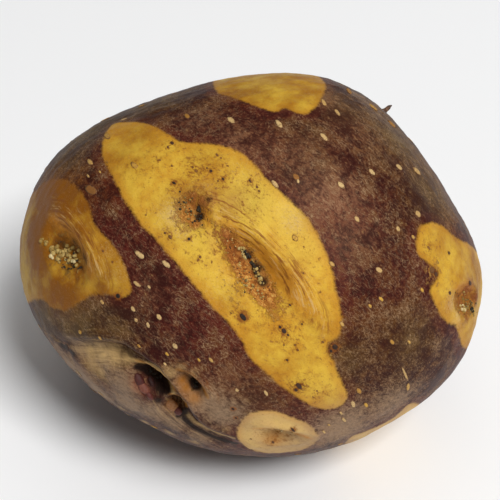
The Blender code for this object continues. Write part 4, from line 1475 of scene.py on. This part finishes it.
def grainMaterial(name, stops):
    material, start = newMaterial(name)
    grown = grownPattern(start)
    shade = attribute(start, "shade")
    grain = grown.noise(4.0, 3, 0.6)
    base = (shade + (grain - 0.5) * 0.5).ramp(stops)
    bump = start.node("ShaderNodeBump", None, {"Height": grain, "Distance": 0.15 * mm, "Strength": 0.6})
    finishMaterial(start, Base_Color=base, Roughness=0.45 + grain * 0.3, Normal=bump, Specular_IOR_Level=0.35)
    return material


def makeGrains():
    material = grainMaterial("bud_skin", budLook["stops"])
    tree, keys = spotTree(material)
    grow("bud_grains", pointCloud("bud_grains", clusterRows()), tree, keys, spotSettings(budLook), material)
    tree, keys = grainTree("buds", material)
    shoots = skinPiece("eye_buds", "budRoom", eyeLook["leastBuds"])
    grow("eye_buds", shoots, tree, keys, grainSettings(budLook), material)

    material = grainMaterial("bud_flesh", swollenLook["stops"])
    tree, keys = spotTree(material)
    rows = [seenSpot(x, y, long, wide, shade, turn, tall) for x, y, long, wide, tall, shade, turn in swollen]
    fleshy = pointCloud("swollen_buds", [row for row in rows if row])
    grow("swollen_buds", fleshy, tree, keys, spotSettings(swollenLook), material)

    material = grainMaterial("crumb_cork", crumbLook["stops"])
    tree, keys = grainTree("crumbs", material)
    crumbs = skinPiece("eye_crumbs", "cork", crumbLook["leastCork"], crumbLook["size"])
    grow("eye_crumbs", crumbs, tree, keys, grainSettings(crumbLook), material)


makeGrains()


# The withered stub of the runner that the tuber grew on
stub = {
    "at": (26.6, 30.6, -1),
    "rootDepth": 1.5,  # mm under the skin
    "neck": 0.6,  # where it bends over
    "length": 2.6,
    "radius": 0.55,
    "lean": (0.5, -0.3, 0.0),
    "bend": 0.35,
    "foot": 1.35,  # times the radius, less the taper towards the tip
    "taper": 0.75,
    "tipAt": 0.85,  # share of its length where it is pinched off
    "tipTaper": 0.75,
    "gnarl": (0.75, 1.25),
    "rings": 14,
    "sides": 12,
    "seed": 2,
}


def makeStub():
    place, normal = skinFrame(stub["at"])
    lean = np.array(stub["lean"])
    spine = np.array([
        place - stub["rootDepth"] * normal,
        place + stub["neck"] * normal,
        place + stub["length"] * (normal + stub["bend"] * lean),
    ])
    side = np.cross(normal, lean)
    side /= np.linalg.norm(side)
    shape = bmesh.new()
    rings = []
    rng = np.random.default_rng(stub["seed"])
    gnarl = rng.uniform(*stub["gnarl"], (stub["rings"], stub["sides"]))
    for ring in range(stub["rings"]):
        t = ring / (stub["rings"] - 1)
        centre = (1 - t) ** 2 * spine[0] + 2 * t * (1 - t) * spine[1] + t**2 * spine[2]
        run = 2 * (1 - t) * (spine[1] - spine[0]) + 2 * t * (spine[2] - spine[1])
        run /= np.linalg.norm(run)
        across = np.cross(run, side)
        across /= np.linalg.norm(across)
        pinch = max(0, t - stub["tipAt"]) / (1 - stub["tipAt"])
        thick = stub["radius"] * (stub["foot"] - stub["taper"] * t) * (1 - stub["tipTaper"] * pinch)
        turns = np.linspace(0, 2 * math.pi, stub["sides"], endpoint=False)
        spots = [
            centre + thick * bulge * (math.cos(turn) * side + math.sin(turn) * across)
            for turn, bulge in zip(turns, gnarl[ring])
        ]
        rings.append([shape.verts.new(toRow(spot)[0]) for spot in spots])
    for lower, upper in zip(rings, rings[1:]):
        for k in range(stub["sides"]):
            after = (k + 1) % stub["sides"]
            shape.faces.new((lower[k], lower[after], upper[after], upper[k]))
    shape.faces.new(rings[0])
    shape.faces.new(rings[-1])
    bmesh.ops.recalc_face_normals(shape, faces=shape.faces[:])
    mesh = bpy.data.meshes.new("runner_stub")
    shape.to_mesh(mesh)
    shape.free()
    mesh.shade_smooth()
    material, start = newMaterial("runner_bark")
    grown = grownPattern(start)
    grain = grown.noise(2.5, 4, 0.6)
    base = grain.fade(0.35, 0.7).colour((0.035, 0.015, 0.010, 1.0), (0.230, 0.110, 0.050, 1.0))
    bump = start.node("ShaderNodeBump", None, {"Height": grain, "Distance": 0.3 * mm, "Strength": 0.8})
    finishMaterial(start, Base_Color=base, Roughness=0.6 + grain * 0.2, Normal=bump)
    mesh.materials.append(material)
    piece = addObject("runner_stub", mesh)
    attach(piece, "root")
    print("runner stub made")


makeStub()


# Table, surroundings and lights
stageLook = {
    "floorHalf": 1.5,  # m
    "floorColour": (0.93, 0.935, 0.94, 1.0),
    "worldStrength": 0.10,
    "aimHeight": 0.03,  # m, where the lights point
    "lights": (  # name, way to the light (across, back, up), distance, width, watts
        ("key", (0.32, -0.43, 0.85), 2.2, 0.75, 45.0),
        ("soft", (0.05, 0.15, 0.98), 2.5, 2.20, 11.0),
    ),
}


def makeStage():
    bpy.ops.mesh.primitive_grid_add(size=2 * stageLook["floorHalf"], x_subdivisions=8, y_subdivisions=8)
    floor = bpy.context.object
    floor.name = "floor"
    material, start = newMaterial("floor_white")
    place = start.node("ShaderNodeTexCoord", None, None, "Object")
    cloud = place.noise(2.0, 2)
    paint = cloud.colour(stageLook["floorColour"], (0.95, 0.95, 0.95, 1.0))
    finishMaterial(start, Base_Color=paint, Roughness=0.7 + cloud * 0.1)
    floor.data.materials.append(material)
    world = bpy.data.worlds.new("white")
    world.use_nodes = True
    world.node_tree.nodes["Background"].inputs["Color"].default_value = (1.0, 1.0, 1.0, 1.0)
    world.node_tree.nodes["Background"].inputs["Strength"].default_value = stageLook["worldStrength"]
    bpy.context.scene.world = world
    for name, way, distance, width, watts in stageLook["lights"]:
        data = bpy.data.lights.new(name, "AREA")
        data.size = width
        data.energy = watts
        light = addObject(name, data)
        way = Vector(way).normalized()
        light.location = way * distance + Vector((0, 0, stageLook["aimHeight"]))
        light.rotation_mode = "QUATERNION"
        light.rotation_quaternion = way.to_track_quat("Z", "Y")
    view = bpy.context.scene.view_settings
    view.view_transform = "Standard"
    view.look = "None"


makeStage()
print("table and lights placed")
